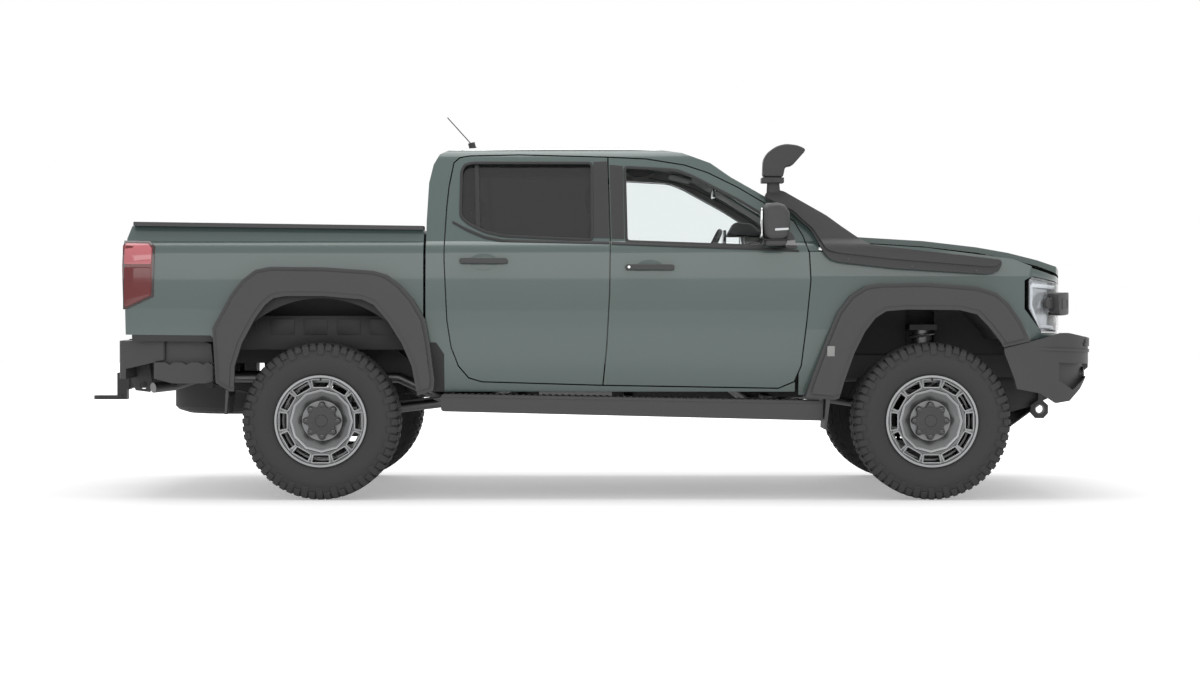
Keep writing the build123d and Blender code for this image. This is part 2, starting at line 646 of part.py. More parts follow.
with BuildPart() as dampers:
    rod((bed(75), 300, 400), (bed(140), 304, 600), 30)
    rod((bed(140), 304, 600), (bed(175), 308, 728), 18)
    box(bed(0) + AXLE_TUBE + SEAT_GAP, bed(76), 275, 325, 380, 440)
    box(bed(160), bed(200), 290, RAIL_INNER - SEAT_GAP, 724, 755)
    rod((nose(3270), STRUT_HALF, 480), (nose(3270), STRUT_HALF, TOWER_Z - SEAT_GAP), 52)
    for way in (-1, 1):
        rod((nose(3270) + way * 38, STRUT_HALF, STRUT_FOOT_Z), (nose(3270) + way * 38, STRUT_HALF, 485), 12)
    rod((nose(3270) - 52, STRUT_HALF, STRUT_FOOT_Z), (nose(3270) + 52, STRUT_HALF, STRUT_FOOT_Z), STRUT_EYE)
    other_side()
parts["dampers"] = dampers.part

with BuildPart() as front_drive:
    rod((nose(3270) - 105, 0, 405), (nose(3270) + 120, 0, 405), 118)
    rod((nose(3270), -200, AXLE_Z), (nose(3270), 200, AXLE_Z), 60)
    rod((nose(3270), -640, AXLE_Z), (nose(3270), 640, AXLE_Z), 17)
    for sign in (1, -1):
        rod((nose(3270), sign * 200, AXLE_Z), (nose(3270), sign * 270, AXLE_Z), 44)
    for half in (-60, 60):
        box(nose(3270 - 130) + SEAT_GAP, nose(3270) - 95, half - 20, half + 20, 290, 318)
        box(nose(3270) + 110, nose(3270 + 130) - SEAT_GAP, half - 20, half + 20, 290, 318)
parts["front_drive"] = front_drive.part

with BuildPart() as steering_rack:
    rod((RACK_X, -330, TIE_Z), (RACK_X, 330, TIE_Z), RACK_RADIUS)
    for sign in (1, -1):
        rod((RACK_X, sign * 330, TIE_Z), (RACK_X, sign * 400, TIE_Z), 24)
        rod((RACK_X, sign * 400, TIE_Z), (TIE_EYE_X, sign * (TIE_EYE_HALF - 12), TIE_Z), 9)
        rod((TIE_EYE_X, sign * TIE_EYE_HALF, TIE_Z - 12), (TIE_EYE_X, sign * TIE_EYE_HALF, TIE_Z + 12), 18)
parts["steering_rack"] = steering_rack.part


def knuckle(sign):
    """Upright, steering arm, spindle and brake disc on one kingpin."""
    x = nose(3270)
    y = sign * KINGPIN_HALF
    with BuildPart() as body:
        low = LOWER_ARM_Z + 13 + SEAT_GAP
        high = UPPER_ARM_Z - 10 - SEAT_GAP
        box(x - 28, x + 28, y - 22, y + 22, low, high)
        rod((x, y, LOWER_ARM_Z - 13), (x, y, low), PIN_RADIUS)
        rod((x, y, high), (x, y, UPPER_ARM_Z + 10), PIN_RADIUS)
        rod((x, y, AXLE_Z), (x, sign * (TRACK_HALF + 20), AXLE_Z), SPINDLE)
        rod((x, y - 26, AXLE_Z), (x, y + 26, AXLE_Z), 62)
        rod((x, sign * 806, AXLE_Z), (x, sign * 830, AXLE_Z), 165)
        rod((x, y, TIE_Z - 12 - 5 - 10), (TIE_EYE_X, sign * TIE_EYE_HALF, TIE_Z - 12 - 5 - 10), 9)
        rod(
            (TIE_EYE_X, sign * TIE_EYE_HALF, TIE_Z - 12 - 5 - 20),
            (TIE_EYE_X, sign * TIE_EYE_HALF, TIE_Z - 12 - 5), 20,
        )
    return body.part


for side, sign in SIDES.items():
    parts[f"knuckle_{side}"] = knuckle(sign)

# Wheels: one rim and one tyre, drawn facing +Y round their own centre
RIM_LIP = 246.8
WINDOWS = 12
HUB_BOSS = 75.0


def make_rim():
    with BuildPart() as rim:
        with BuildSketch(Plane.XY) as section:
            with BuildLine():
                Polyline(
                    (RIM_LIP, -105), (RIM_LIP, -117), (BEAD_RADIUS - 8, -117),
                    (BEAD_RADIUS - 22, -96), (BEAD_RADIUS - 22, 40), (BEAD_RADIUS - 10, 104),
                    (RIM_LIP - 16, 110), (RIM_LIP - 12, 117), (RIM_LIP, 117), (RIM_LIP, 105),
                    (BEAD_RADIUS, 103), (BEAD_RADIUS, 60), (BEAD_RADIUS - 12, 40), (BEAD_RADIUS - 12, -85),
                    (BEAD_RADIUS, -95), (BEAD_RADIUS, -105), close=True,
                )
            make_face()
        revolve(section.sketch, axis=Axis.Y)
        with BuildSketch(Plane.XY) as face:
            with BuildLine():
                Polyline(
                    (SPINDLE + RUNNING_GAP, 12), (108, 12), (158, 44), (184, 66), (BEAD_RADIUS - 12, 92),
                    (BEAD_RADIUS - 12, 104), (184, 92), (182, 78), (160, 66), (108, 34), (60, 34),
                    (57, 66), (0, 66), (0, 28), (SPINDLE + RUNNING_GAP, 28), close=True,
                )
            make_face()
        revolve(face.sketch, axis=Axis.Y)
        for count in range(WINDOWS):
            turn = 360 / WINDOWS * count
            with BuildSketch(Plane(origin=(0, 20, 0), x_dir=(1, 0, 0), z_dir=(0, 1, 0)).rotated((0, turn, 0))) as window:
                with Locations((0, 201)):
                    Trapezoid(88, 40, 97)
            extrude(window.sketch, amount=100, mode=Mode.SUBTRACT)
    return rim.part


SHOULDER_LUGS = 40
LUG_DEPTH = 12.0
LUG_REACH = 46.0
LUG_NOTCH = 15.0


def tyre_solid(radius, width, bead, bead_half, lugs=0):
    """A tyre turned round Y, with notches between its shoulder lugs."""
    with BuildPart() as tyre:
        half = width / 2
        with BuildSketch(Plane.XY) as section:
            with BuildLine():
                Polyline(
                    (bead, -bead_half), (bead, bead_half), (bead + 20, bead_half), (bead + 34, bead_half + 14),
                    (bead + 95, half), (radius - 20, half - 18), (radius, half - 38), (radius, 38 - half),
                    (radius - 20, 18 - half), (bead + 95, -half), (bead + 34, -bead_half - 14),
                    (bead + 20, -bead_half), close=True,
                )
            make_face()
        revolve(section.sketch, axis=Axis.Y)
        for count in range(lugs):
            for sign in (1, -1):
                turn = 360 / lugs * (count + (0.25 if sign > 0 else -0.25))
                plane = Plane(origin=(0, sign * (half - LUG_REACH / 2), 0), x_dir=(1, 0, 0), z_dir=(0, 1, 0))
                with BuildSketch(plane.rotated((0, turn, 0))) as notch:
                    with Locations((0, radius)):
                        Rectangle(LUG_NOTCH, 2 * LUG_DEPTH)
                extrude(notch.sketch, amount=LUG_REACH / 2 + 1, both=True, mode=Mode.SUBTRACT)
    return tyre.part


rim = make_rim()
tyre = tyre_solid(TYRE_RADIUS, TYRE_WIDTH, BEAD_RADIUS + SEAT_GAP, 102, SHOULDER_LUGS)
for side, sign in SIDES.items():
    for end, x in (("front", X_FRONT), ("rear", X_REAR)):
        place = Location((x, sign * TRACK_HALF, AXLE_Z), (0, 0, 0 if sign > 0 else 180))
        parts[f"rim_{end}_{side}"] = rim.moved(place)
        parts[f"tyre_{end}_{side}"] = tyre.moved(place)

# Front body: fenders, flares, hood, grille and lamps
FLARE_REAR_OUTER = at(
    bed,
    [
        (-573, 920), (-476, 1098), (-414, 1177), (-343, 1231), (-263, 1247), (21, 1244), (287, 1226),
        (358, 1204), (429, 1151), (499, 1071), (561, 964), (584, 840), (610, 640), (604, 585),
        (520, 560), (-484, 583), (-555, 628),
    ],
)
FLARE_REAR_INNER = at(
    bed,
    [
        (-470, 300), (-453, 717), (-414, 840), (-343, 973), (-290, 1045), (-245, 1080), (-183, 1091),
        (21, 1091), (225, 1073), (287, 1045), (358, 964), (437, 840), (491, 716), (520, 560), (520, 300),
    ],
)
FLARE_FRONT_OUTER = at(
    nose,
    [
        (2592, 552), (2626, 653), (2705, 867), (2761, 1002), (2829, 1092), (2907, 1143), (2997, 1157),
        (3245, 1160), (3504, 1140), (3605, 1109), (3673, 1053), (3740, 957), (3790, 850), (3640, 815),
        (2745, 537),
    ],
)
FLARE_FRONT_INNER = at(
    nose,
    [
        (2740, 300), (2757, 495), (2795, 631), (2851, 788), (2907, 901), (2963, 974), (3020, 1010),
        (3132, 1019), (3413, 1016), (3504, 993), (3571, 923), (3627, 850), (3652, 812), (3800, 700), (3800, 300),
    ],
)
FLARE_REACH = 1014.0
FLARE_WALL = 14.0
FLARE_STEP = 16.0
FLARE_EDGE = 22.0
FLARE_LIP = 24.0
LAMP_EDGE = at(nose, [(3806, 1197), (3766, 1175), (3766, 1022), (3862, 897)])
FENDER_LINE = (
    at(
        nose,
        [(2560, 560), (2560, 1329), (2694, 1329), (2694, 1384), (3242, 1350), (3702, 1290), (3806, 1250)],
    )
    + LAMP_EDGE
    + at(nose, [(3860, 868), (3640, 816), (2700, 560)])
)
FENDER_HOLLOW_LINE = at(
    nose,
    [(2400, 400), (2400, 1362), (2700, 1362), (3242, 1328), (3702, 1268), (3784, 1235), (3784, 400)],
)
FENDER_INNER_HALF = 803.0
ARCH_SETBACK = 12.0
HOOD_HALF = 796.0
LAMP_INNER_HALF = 642.0


def nose_form(points, x_back):
    """A curved front in plan, mirrored about the middle, through the whole height."""
    with BuildSketch(Plane.XY.offset(200)) as face:
        with BuildLine():
            right = [(nose(x), -y) for x, y in points[::-1]]
            left = [(nose(x), y) for x, y in points[1:]]
            Spline(*right, *left)
            Polyline((nose(points[-1][0]), points[-1][1]), (nose(x_back), points[-1][1]),
                     (nose(x_back), -points[-1][1]), (nose(points[-1][0]), -points[-1][1]))
        make_face()
    return extrude(face.sketch, amount=1400, mode=Mode.PRIVATE)


NOSE_POINTS = [(4040, 0), (4030, 450), (4003, 640), (3960, 800), (3880, 900), (3790, 950)]
BUMPER_POINTS = [(4175, 0), (4168, 450), (4148, 740), (4085, 880), (3930, 965), (3640, 990)]


def inset(points, by):
    return [(x - by, max(y - by, 0)) for x, y in points]


NOSE_FORM = nose_form(NOSE_POINTS, 2400)
NOSE_INNER_FORM = nose_form(inset(NOSE_POINTS, 45), 2400)
LAMP_BACK_FORM = nose_form(inset(NOSE_POINTS, 110), 2400)
BUMPER_FORM = nose_form(BUMPER_POINTS, 3600)
BUMPER_INNER_FORM = nose_form(inset(BUMPER_POINTS, 40), 3590)


def flare(outer, inner, sign):
    """A lip round the arch, hollow on the wheel's side."""
    low, high = sorted((sign * 880, sign * FLARE_REACH))
    shelf_low, shelf_high = sorted((sign * 880, sign * (FLARE_REACH - FLARE_STEP)))
    hollow_low, hollow_high = sorted((sign * 880, sign * (FLARE_REACH - FLARE_STEP - FLARE_WALL)))
    lip_low, lip_high = sorted((sign * (FLARE_REACH - 5), sign * FLARE_REACH))
    solid = side_prism(outer, shelf_low, shelf_high) + side_prism(outer, low, high, -FLARE_EDGE)
    solid = solid - side_prism(inner, low, high)
    solid = solid - side_prism(inner, lip_low, lip_high, FLARE_LIP)
    hollow = side_prism(outer, hollow_low, hollow_high, -FLARE_WALL)
    return solid - hollow - body_skirt


body_skirt = body_form(-SEAT_GAP, -SEAT_GAP, 0)
LINER_FORM = body_form(*[SKIN_DEPTH + SEAT_GAP] * 3)
with BuildPart() as arch_flares:
    for sign in (1, -1):
        add(flare(FLARE_REAR_OUTER, FLARE_REAR_INNER, sign))
        add(flare(FLARE_FRONT_OUTER, FLARE_FRONT_INNER, sign))
parts["arch_flares"] = arch_flares.part

with BuildPart() as front_fenders:
    for sign in (1, -1):
        y_low, y_high = sorted((sign * FENDER_INNER_HALF, sign * DOOR_REACH))
        shell = side_prism(FENDER_LINE, y_low, y_high) & OUTER_FORM & NOSE_FORM
        hollow = side_prism(FENDER_HOLLOW_LINE, y_low, y_high) & SKIN_FORM
        shell = shell - hollow
        shell = shell - side_prism(FLARE_FRONT_INNER, y_low, y_high, ARCH_SETBACK)
        shell = shell - door_prism(FRONT_DOOR_LINE, PANEL_GAP / 2, sign)
        add(shell)
parts["front_fenders"] = front_fenders.part

LINER_WALL = 6.0
with BuildPart() as wheel_liners:
    bent = side_prism(FLARE_FRONT_INNER, 455, DOOR_REACH, ARCH_SETBACK - SEAT_GAP)
    bent = bent - side_prism(FLARE_FRONT_INNER, 455, DOOR_REACH, ARCH_SETBACK - SEAT_GAP - LINER_WALL)
    add((bent & LINER_FORM) & side_prism(at(nose, [(2700, 540), (3637, 862), (3637, 1100), (2700, 1100)]), 455, 1000))
    other_side()
parts["wheel_liners"] = wheel_liners.part

with BuildPart() as mudflaps:
    side_slab(at(bed, [(-508, 460), (-496, 460), (-486, 583.9), (-500, 592.7)]), 760, 1005)
    side_slab(at(nose, [(2690, 380), (2702, 380), (2722, 538.9), (2700, 541.1)]), 760, 1005)
    other_side()
parts["mudflaps"] = mudflaps.part

HOOD_LINE = at(
    nose,
    [
        (2702, 1421), (3242, 1389), (3532, 1355), (3702, 1325), (3860, 1285), (3962, 1250), (4022, 1205),
        (4010, 1188), (3945, 1222), (3855, 1255), (3700, 1294), (3530, 1326), (3240, 1360), (2702, 1392),
    ],
)
with BuildPart() as hood:
    add(side_prism(HOOD_LINE, -HOOD_HALF, HOOD_HALF) & NOSE_FORM)
    for sign in (1, -1):
        y_low, y_high = sorted((sign * (HOOD_HINGE_HALF - 9), sign * (HOOD_HINGE_HALF + 9)))
        rod((hood_x, y_low, hood_z), (hood_x, y_high, hood_z), HOOD_EYE)
        box(hood_x - 9, hood_x + 9, y_low, y_high, hood_z, 1394)
        rod((hood_x, sign * HOOD_HINGE_HALF, hood_z), (hood_x, sign * (HOOD_HINGE_HALF + 22), hood_z), HOOD_PIN)
parts["hood"] = hood.part

LAMP_LINE = LAMP_EDGE + at(nose, [(4000, 893), (4000, 1150), (3930, 1172)])
with BuildPart() as headlamps:
    for sign in (1, -1):
        y_low, y_high = sorted((sign * LAMP_INNER_HALF, sign * DOOR_REACH))
        add((side_prism(LAMP_LINE, y_low, y_high, -SEAT_GAP) & NOSE_FORM & OUTER_FORM) - LAMP_BACK_FORM)
parts["headlamps"] = headlamps.part

GRILLE_LOW = 905.0
GRILLE_TOP = 1184.0
GRILLE_HALF = 636.0
BAR_HALF = 760.0
BAR_LOW = 1000.0
BAR_TOP = 1108.0
with BuildPart() as grille:
    add(side_prism(at(nose, [(3900, GRILLE_LOW), (4100, GRILLE_LOW), (4100, GRILLE_TOP), (3900, GRILLE_TOP)]),
                   -GRILLE_HALF, GRILLE_HALF) & (NOSE_FORM - NOSE_INNER_FORM))
    box(nose(3900), nose(4100), -GRILLE_HALF + 34, GRILLE_HALF - 34, GRILLE_LOW + 26, BAR_LOW, Mode.SUBTRACT)
    box(nose(3900), nose(4100), -GRILLE_HALF + 34, GRILLE_HALF - 34, BAR_TOP, GRILLE_TOP - 26, Mode.SUBTRACT)
    for z in (GRILLE_LOW + 50, BAR_TOP + 22):
        add(side_prism(at(nose, [(3900, z), (4100, z), (4100, z + 10), (3900, z + 10)]),
                       -GRILLE_HALF + 30, GRILLE_HALF - 30) & (NOSE_FORM - NOSE_INNER_FORM))
    bar = nose_form([(x + 34, y) for x, y in NOSE_POINTS], 3600)
    bar_line = at(nose, [(3900, BAR_LOW), (4200, BAR_LOW), (4200, BAR_TOP), (3900, BAR_TOP)])
    add(side_prism(bar_line, -GRILLE_HALF, GRILLE_HALF) & (bar - NOSE_FORM))
    lamp_clear = nose_form([(x + SEAT_GAP, y + SEAT_GAP) for x, y in NOSE_POINTS], 3600)
    add(side_prism(bar_line, -BAR_HALF, BAR_HALF) & (bar - lamp_clear))
parts["grille"] = grille.part

BUMPER_LINE = at(
    nose,
    [
        (3652, 812), (3655, 783), (3708, 644), (3719, 595), (3855, 569), (3934, 518), (4011, 529), (4076, 594),
        (4139, 688), (4175, 717), (4175, 830), (4130, 868), (4008, 893), (3965, 893), (3870, 866),
    ],
)
FOG_RECESS_LINE = at(nose, [(3950, 735), (4200, 722), (4030, 588), (3950, 640)])
FOG_FLOOR_FORM = nose_form(inset(BUMPER_POINTS, 26), 3590)
HOOK_HALF = 400.0
HOOK_EYE = 24.0
HOOK_LINE = at(
    nose,
    [
        (3936, 700), (3936, 512), (3896, 485), (3896, 440), (3922, 412), (3966, 412), (3992, 440),
        (3992, 485), (3962, 512), (3962, 700),
    ],
)
with BuildPart() as front_bumper:
    add(side_prism(BUMPER_LINE, -1000, 1000) & (BUMPER_FORM - BUMPER_INNER_FORM))
    box(nose(3940), nose(4300), -470, 470, 610, 700, Mode.SUBTRACT)
    for sign in (1, -1):
        y_low, y_high = sorted((sign * 690, sign * 990))
        recess = side_prism(FOG_RECESS_LINE, y_low, y_high)
        add(recess & (BUMPER_FORM - FOG_FLOOR_FORM), mode=Mode.SUBTRACT)
        lamp_end = (nose(4110), sign * 775, 668)
        rod((nose(4040), sign * 775, 668), lamp_end, 34)
        # Recovery hooks hang from the beam's feet
        hook_low, hook_high = sorted((sign * (HOOK_HALF - 12), sign * (HOOK_HALF + 12)))
        side_slab(HOOK_LINE, hook_low, hook_high)
        rod((nose(3944), hook_low, 463), (nose(3944), hook_high, 463), HOOK_EYE, Mode.SUBTRACT)
    # Crash beam and its feet on the frame rails
    box(nose(3985), nose(4060), -620, 620, 710, 800)
    for sign in (1, -1):
        y_low, y_high = sorted((sign * RAIL_INNER, sign * RAIL_OUTER))
        box(nose(3930) + SEAT_GAP, nose(3990), y_low, y_high, 660, 800)
        y_low, y_high = sorted((sign * 560, sign * 620))
        box(nose(4050), nose(4126), y_low, y_high, 730, 790)
parts["front_bumper"] = front_bumper.part

CORNER_PANEL_LINE = at(bed, [(-900, 690), (-900, 848), (-640, 848), (-600, 832), (-585, 690)])
CORNER_STEP_LINE = at(
    bed,
    [
        (-900, 648), (-900, 735), (-840, 735), (-815, 722), (-790, 735), (-750, 735), (-725, 722), (-700, 735),
        (-660, 735), (-635, 722), (-610, 735), (-585, 722), (-585, 640), (-630, 622), (-800, 622),
    ],
)
RECOVERY_LINE = at(bed, [(-1110, 720), (-1110, 645), (-1080, 570), (-1000, 560), (-985, 600), (-1005, 720)])
with BuildPart() as rear_bumper:
    with BuildSketch(Plane.XY.offset(645)) as plan:
        with BuildLine():
            FilletPolyline(
                (bed(-1123), -600), (bed(-1123), 600), (bed(-1095), 860), (bed(-840), 905), (bed(-840), 840),
                (bed(-1040), 800), (bed(-1075), 560), (bed(-1075), -560), (bed(-1040), -800),
                (bed(-840), -840), (bed(-840), -905), (bed(-1095), -860), radius=20, close=True,
            )
        make_face()
    extrude(plan.sketch, amount=205)
    side_slab(at(bed, [(-1140, 600), (-1140, 700), (-1075, 600)]), -1000, 1000, mode=Mode.SUBTRACT)
    side_slab(at(bed, [(-1060, 600), (-1060, 700), (-800, 760), (-800, 600)]), -1000, 1000, mode=Mode.SUBTRACT)
    for sign in (1, -1):
        y_low, y_high = sorted((sign * RAIL_INNER, sign * RAIL_OUTER))
        box(bed(-1078), bed(-1066) - SEAT_GAP, y_low, y_high, 730, 830)
        y_low, y_high = sorted((sign * 852, sign * 876))
        side_slab(CORNER_PANEL_LINE, y_low, y_high)
        y_low, y_high = sorted((sign * 780, sign * 915))
        side_slab(CORNER_STEP_LINE, y_low, y_high)
        y_low, y_high = sorted((sign * 470, sign * 482))
        side_slab(RECOVERY_LINE, y_low, y_high)
        rod((bed(-1035), y_low, 600), (bed(-1035), y_high, 600), 22, Mode.SUBTRACT)
parts["rear_bumper"] = rear_bumper.part

# Tow hitch
RECEIVER_Z = 620.0
BALL_HOLE = 11.2
with BuildPart() as tow_hitch:
    box(bed(-1040), bed(-985), -RAIL_INNER + SEAT_GAP, RAIL_INNER - SEAT_GAP, 575, 638)
    box(bed(-1215), bed(-1040), -38, 38, 568, 642)
    for sign in (1, -1):
        y_low, y_high = sorted((sign * (RAIL_INNER - 30), sign * (RAIL_INNER - SEAT_GAP)))
        box(bed(-1060), bed(-960), y_low, y_high, 590, 720)
        box(bed(-1045), bed(-965), *sorted((sign * (RAIL_INNER - 30), sign * RAIL_OUTER)), 700, 719.7)
    box(bed(-1271), bed(-1215), -32, 32, 503, 655)
    with BuildSketch(Plane.XY.offset(503)) as tongue:
        with BuildLine():
            Polyline((bed(-1240), -38), (bed(-1240), 38), (bed(-1372), 37))
            ThreePointArc((bed(-1372), 37), (-REAR_REACH + X_REAR, 0), (bed(-1372), -37))
            Line((bed(-1372), -37), (bed(-1240), -38))
        make_face()
    extrude(tongue.sketch, amount=22)
    rod((bed(-1368), 0, 480), (bed(-1368), 0, 560), BALL_HOLE, Mode.SUBTRACT)
parts["tow_hitch"] = tow_hitch.part

# Side steps on brackets from the frame
STEP_LINE = at(cab, [(644, 567), (2687, 530), (2687, 424), (644, 474)])
with BuildPart() as side_steps:
    side_slab(STEP_LINE, 800, 965, radius=16)
    for station in (1060, 1650, 2400):
        x = cab(station)
        box(x - 25, x + 25, RAIL_OUTER + SEAT_GAP, 820, 532, 552)
        box(x - 25, x + 25, RAIL_OUTER + SEAT_GAP, RAIL_OUTER + 12, 532, 640)
    other_side()
parts["side_steps"] = side_steps.part

# Snorkel on the right side
DUCT_LINE = at(
    nose,
    [
        (2376, 1618), (2441, 1586), (2524, 1543), (2581, 1485), (2622, 1452), (2667, 1369), (2691, 1320),
        (2724, 1287), (2767, 1273), (3057, 1239), (3568, 1207), (3626, 1221), (3643, 1284), (3591, 1290),
        (2941, 1366), (2886, 1396), (2783, 1469), (2711, 1524), (2478, 1661), (2400, 1664),
    ],
)
HEAD_LINE = at(
    nose,
    [
        (2367, 1729), (2371, 1827), (2395, 1868), (2445, 1901), (2495, 1913), (2561, 1905), (2610, 1880),
        (2528, 1789), (2490, 1785), (2486, 1752), (2480, 1729),
    ],
)
DUCT_DEPTH = 58.0
duct_outer = body_form(-DUCT_DEPTH, -DUCT_DEPTH, 0)
with BuildPart() as snorkel:
    add(side_prism(DUCT_LINE, -DOOR_REACH, -700) & (duct_outer - body_skirt))
    side_slab(at(nose, [(2390, 1640), (2396, 1735), (2462, 1735), (2470, 1640)]), -850, -795)
    side_slab(at(nose, [(2366, 1694), (2366, 1730), (2482, 1730), (2482, 1694)]), -878, -772)
    side_slab(HEAD_LINE, -880, -770)
parts["snorkel"] = snorkel.part

# Mirrors ride on the front doors
for side, sign in SIDES.items():
    with BuildPart() as mirror_part:
        y_low, y_high = sorted((sign * 955, sign * 1104))
        side_slab(
            at(cab, [(2355, 1352), (2347, 1560), (2372, 1592), (2470, 1592), (2512, 1540), (2500, 1375), (2480, 1352)]),
            y_low, y_high, radius=14,
        )
        y_low, y_high = sorted((sign * 850, sign * 960))
        side_slab(at(cab, [(2400, 1362), (2400, 1430), (2490, 1430), (2490, 1362)]), y_low, y_high)
        add(body_skirt, mode=Mode.SUBTRACT)
    parts[f"mirror_{side}"] = mirror_part.part

# Fixed glass
with BuildPart() as glazing:
    screen = extrude(screen_face(-SEAT_GAP), amount=3, both=True, mode=Mode.PRIVATE)
    add(screen.moved(Location((-6, 0, -10))))
    pane = extrude(backlight_face(-SEAT_GAP), amount=5, mode=Mode.PRIVATE)
    add(pane.moved(Location((22, 0, 0))))
parts["glazing"] = glazing.part

# Lamps and antenna at the back
lamp_form = body_form(-4, -4, 0)
with BuildPart() as tail_lamps:
    for sign in (1, -1):
        y_low, y_high = sorted((sign * (LAMP_SEAT_HALF + SEAT_GAP), sign * DOOR_REACH))
        lamp = side_prism(TAIL_LAMP_LINE, y_low, y_high, -SEAT_GAP) & lamp_form
        add(lamp & side_prism(at(bed, [(-1056, 1450), (-1062, 1250), (-1054, 1000), (-850, 1000), (-850, 1450)]),
                              -1000, 1000))
parts["tail_lamps"] = tail_lamps.part

with BuildPart() as antenna:
    rod((cab(780), 0, 1880), (cab(757), 0, 1972), 20)
    rod((cab(757), 0, 1965), (cab(620), 0, 2117), 3)
    add(side_prism(CAB_LINE, -100, 100, SEAT_GAP), mode=Mode.SUBTRACT)
parts["antenna"] = antenna.part

# Cab interior
with BuildPart() as seats:
    for sign in (1, -1):
        y_low, y_high = sorted((sign * 110, sign * 620))
        side_slab(
            at(cab, [(1560, 900), (1580, 1030), (2020, 1080), (2060, 980), (2020, 900)]), y_low, y_high, radius=30
        )
        side_slab(
            at(cab, [(1560, 990), (1400, 1480), (1470, 1560), (1550, 1520), (1690, 1045)]), y_low, y_high,
            radius=25,
        )
        head_low, head_high = sorted((sign * 245, sign * 485))
        side_slab(at(cab, [(1420, 1560), (1400, 1720), (1500, 1730), (1520, 1560)]), head_low, head_high, radius=25)
        for post in (305, 425):
            rod((cab(1468), sign * post, 1500), (cab(1468), sign * post, 1600), 7)
        box(cab(1640), cab(2040), *sorted((sign * 200, sign * 250)), CAB_FLOOR_TOP + SEAT_GAP, 915)
        box(cab(1640), cab(2040), *sorted((sign * 530, sign * 580)), CAB_FLOOR_TOP + SEAT_GAP, 915)
    side_slab(at(cab, [(850, 960), (850, 1100), (1300, 1140), (1340, 1060), (1300, 960)]), -660, 660, radius=30)
    side_slab(at(cab, [(850, 1060), (720, 1500), (730, 1560), (800, 1560), (960, 1100)]), -660, 660, radius=20)
    box(cab(860), cab(1260), -640, 640, CAB_FLOOR_TOP + SEAT_GAP, 970)
parts["seats"] = seats.part

WHEEL_HUB = (cab(2090), -380, 1290)
COLUMN_TOP = (cab(2260), -380, 1215)
COLUMN_RADIUS = 28.0
WHEEL_RIM = 192.0
with BuildPart() as dashboard:
    side_slab(
        at(cab, [(2590, 1000), (2590, 1400), (2480, 1430), (2280, 1370), (2200, 1280), (2230, 1100), (2330, 1000)]),
        -760, 760, radius=20,
    )
    side_slab(at(cab, [(1790, 830.3), (1790, 1000), (2150, 1010), (2300, 1060), (2340, 830.3)]), -85, 85, radius=20)
    rod(COLUMN_TOP, WHEEL_HUB, COLUMN_RADIUS + SEAT_GAP, Mode.SUBTRACT)
parts["dashboard"] = dashboard.part


with BuildPart() as steering_wheel:
    plane = Plane(origin=WHEEL_HUB, z_dir=Vector(*WHEEL_HUB) - Vector(*COLUMN_TOP))
    with BuildSketch(plane) as ring:
        Circle(WHEEL_RIM)
        Circle(WHEEL_RIM - 28, mode=Mode.SUBTRACT)
    extrude(ring.sketch, amount=12, both=True)
    chamfer(steering_wheel.edges().filter_by(GeomType.CIRCLE), length=7)
    with Locations(plane):
        Cylinder(60, 40)
        Box(350, 34, 16)
        with Locations((0, -90, 0)):
            Box(34, 170, 16)
    rod(COLUMN_TOP, WHEEL_HUB, COLUMN_RADIUS)
parts["steering_wheel"] = steering_wheel.part

# Engine bay
with BuildPart() as engine:
    box(nose(2960), nose(3640), -290, 290, 760, 1230)
    box(nose(3020), nose(3560), -200, 200, 700.3, 780)
parts["engine"] = engine.part

with BuildPart() as radiator:
    box(nose(3800), nose(3850), -330, 330, 790, 1170)
    box(nose(3790), nose(3860), -630, 630, 1170, 1205)
    for sign in (1, -1):
        box(nose(3790), nose(3860), *sorted((sign * 340, sign * 415)), 770.3, 1175)
    for half in (-480, 0, 480):
        stay = at(nose, [(3855, 1160), (4100, 1160), (4100, 1182), (3855, 1182)])
        add(side_prism(stay, half - 20, half + 20) & nose_form(inset(NOSE_POINTS, 45 + SEAT_GAP), 2400))
parts["radiator"] = radiator.part

with BuildPart() as front_structure:
    box(cab(2690) + SEAT_GAP, nose(3760), 715, 795, 1170, 1270)
    shelf = at(nose, [(2760, 1150), (3760, 1150), (3760, 1172), (2760, 1172)])
    add(side_prism(shelf, 450, DOOR_REACH) & LINER_FORM)
    for start, end in ((2760, 3190), (3350, 3760)):
        box(nose(start), nose(end), 446, 452, 772, 1160)
    other_side()
parts["front_structure"] = front_structure.part

# Driveline, tank and exhaust
GEARBOX_START = (nose(2958), 0, 712)
GEARBOX_END = (cab(1950), 0, 648)
with BuildPart() as gearbox:
    rod(GEARBOX_START, GEARBOX_END, 98)
    box(cab(2160), cab(2320), -210, 60, 530, 650)
    rod((nose(2956), 0, 745), (nose(2760), 0, 735), 140)
    rod((cab(2120), 0, 600), (cab(2120), 0, 549.3), 40)
parts["gearbox"] = gearbox.part

FLANGE_THICKNESS = 16.0
JOINT_REACH = 48.0


def shaft(start, start_way, end, end_way, flange, tube):
    """A shaft with a flange and a round joint at each end, bolted face to face."""
    spots = []
    for place, way in ((start, start_way), (end, end_way)):
        face = Vector(*place) + way.normalized() * SEAT_GAP
        spot = Vector(*place) + way.normalized() * JOINT_REACH
        rod(face, face + way.normalized() * FLANGE_THICKNESS, flange)
        rod(face, spot, tube)
        with Locations(spot):
            Sphere(tube + 6)
        spots.append(spot)
    rod(*spots, tube)


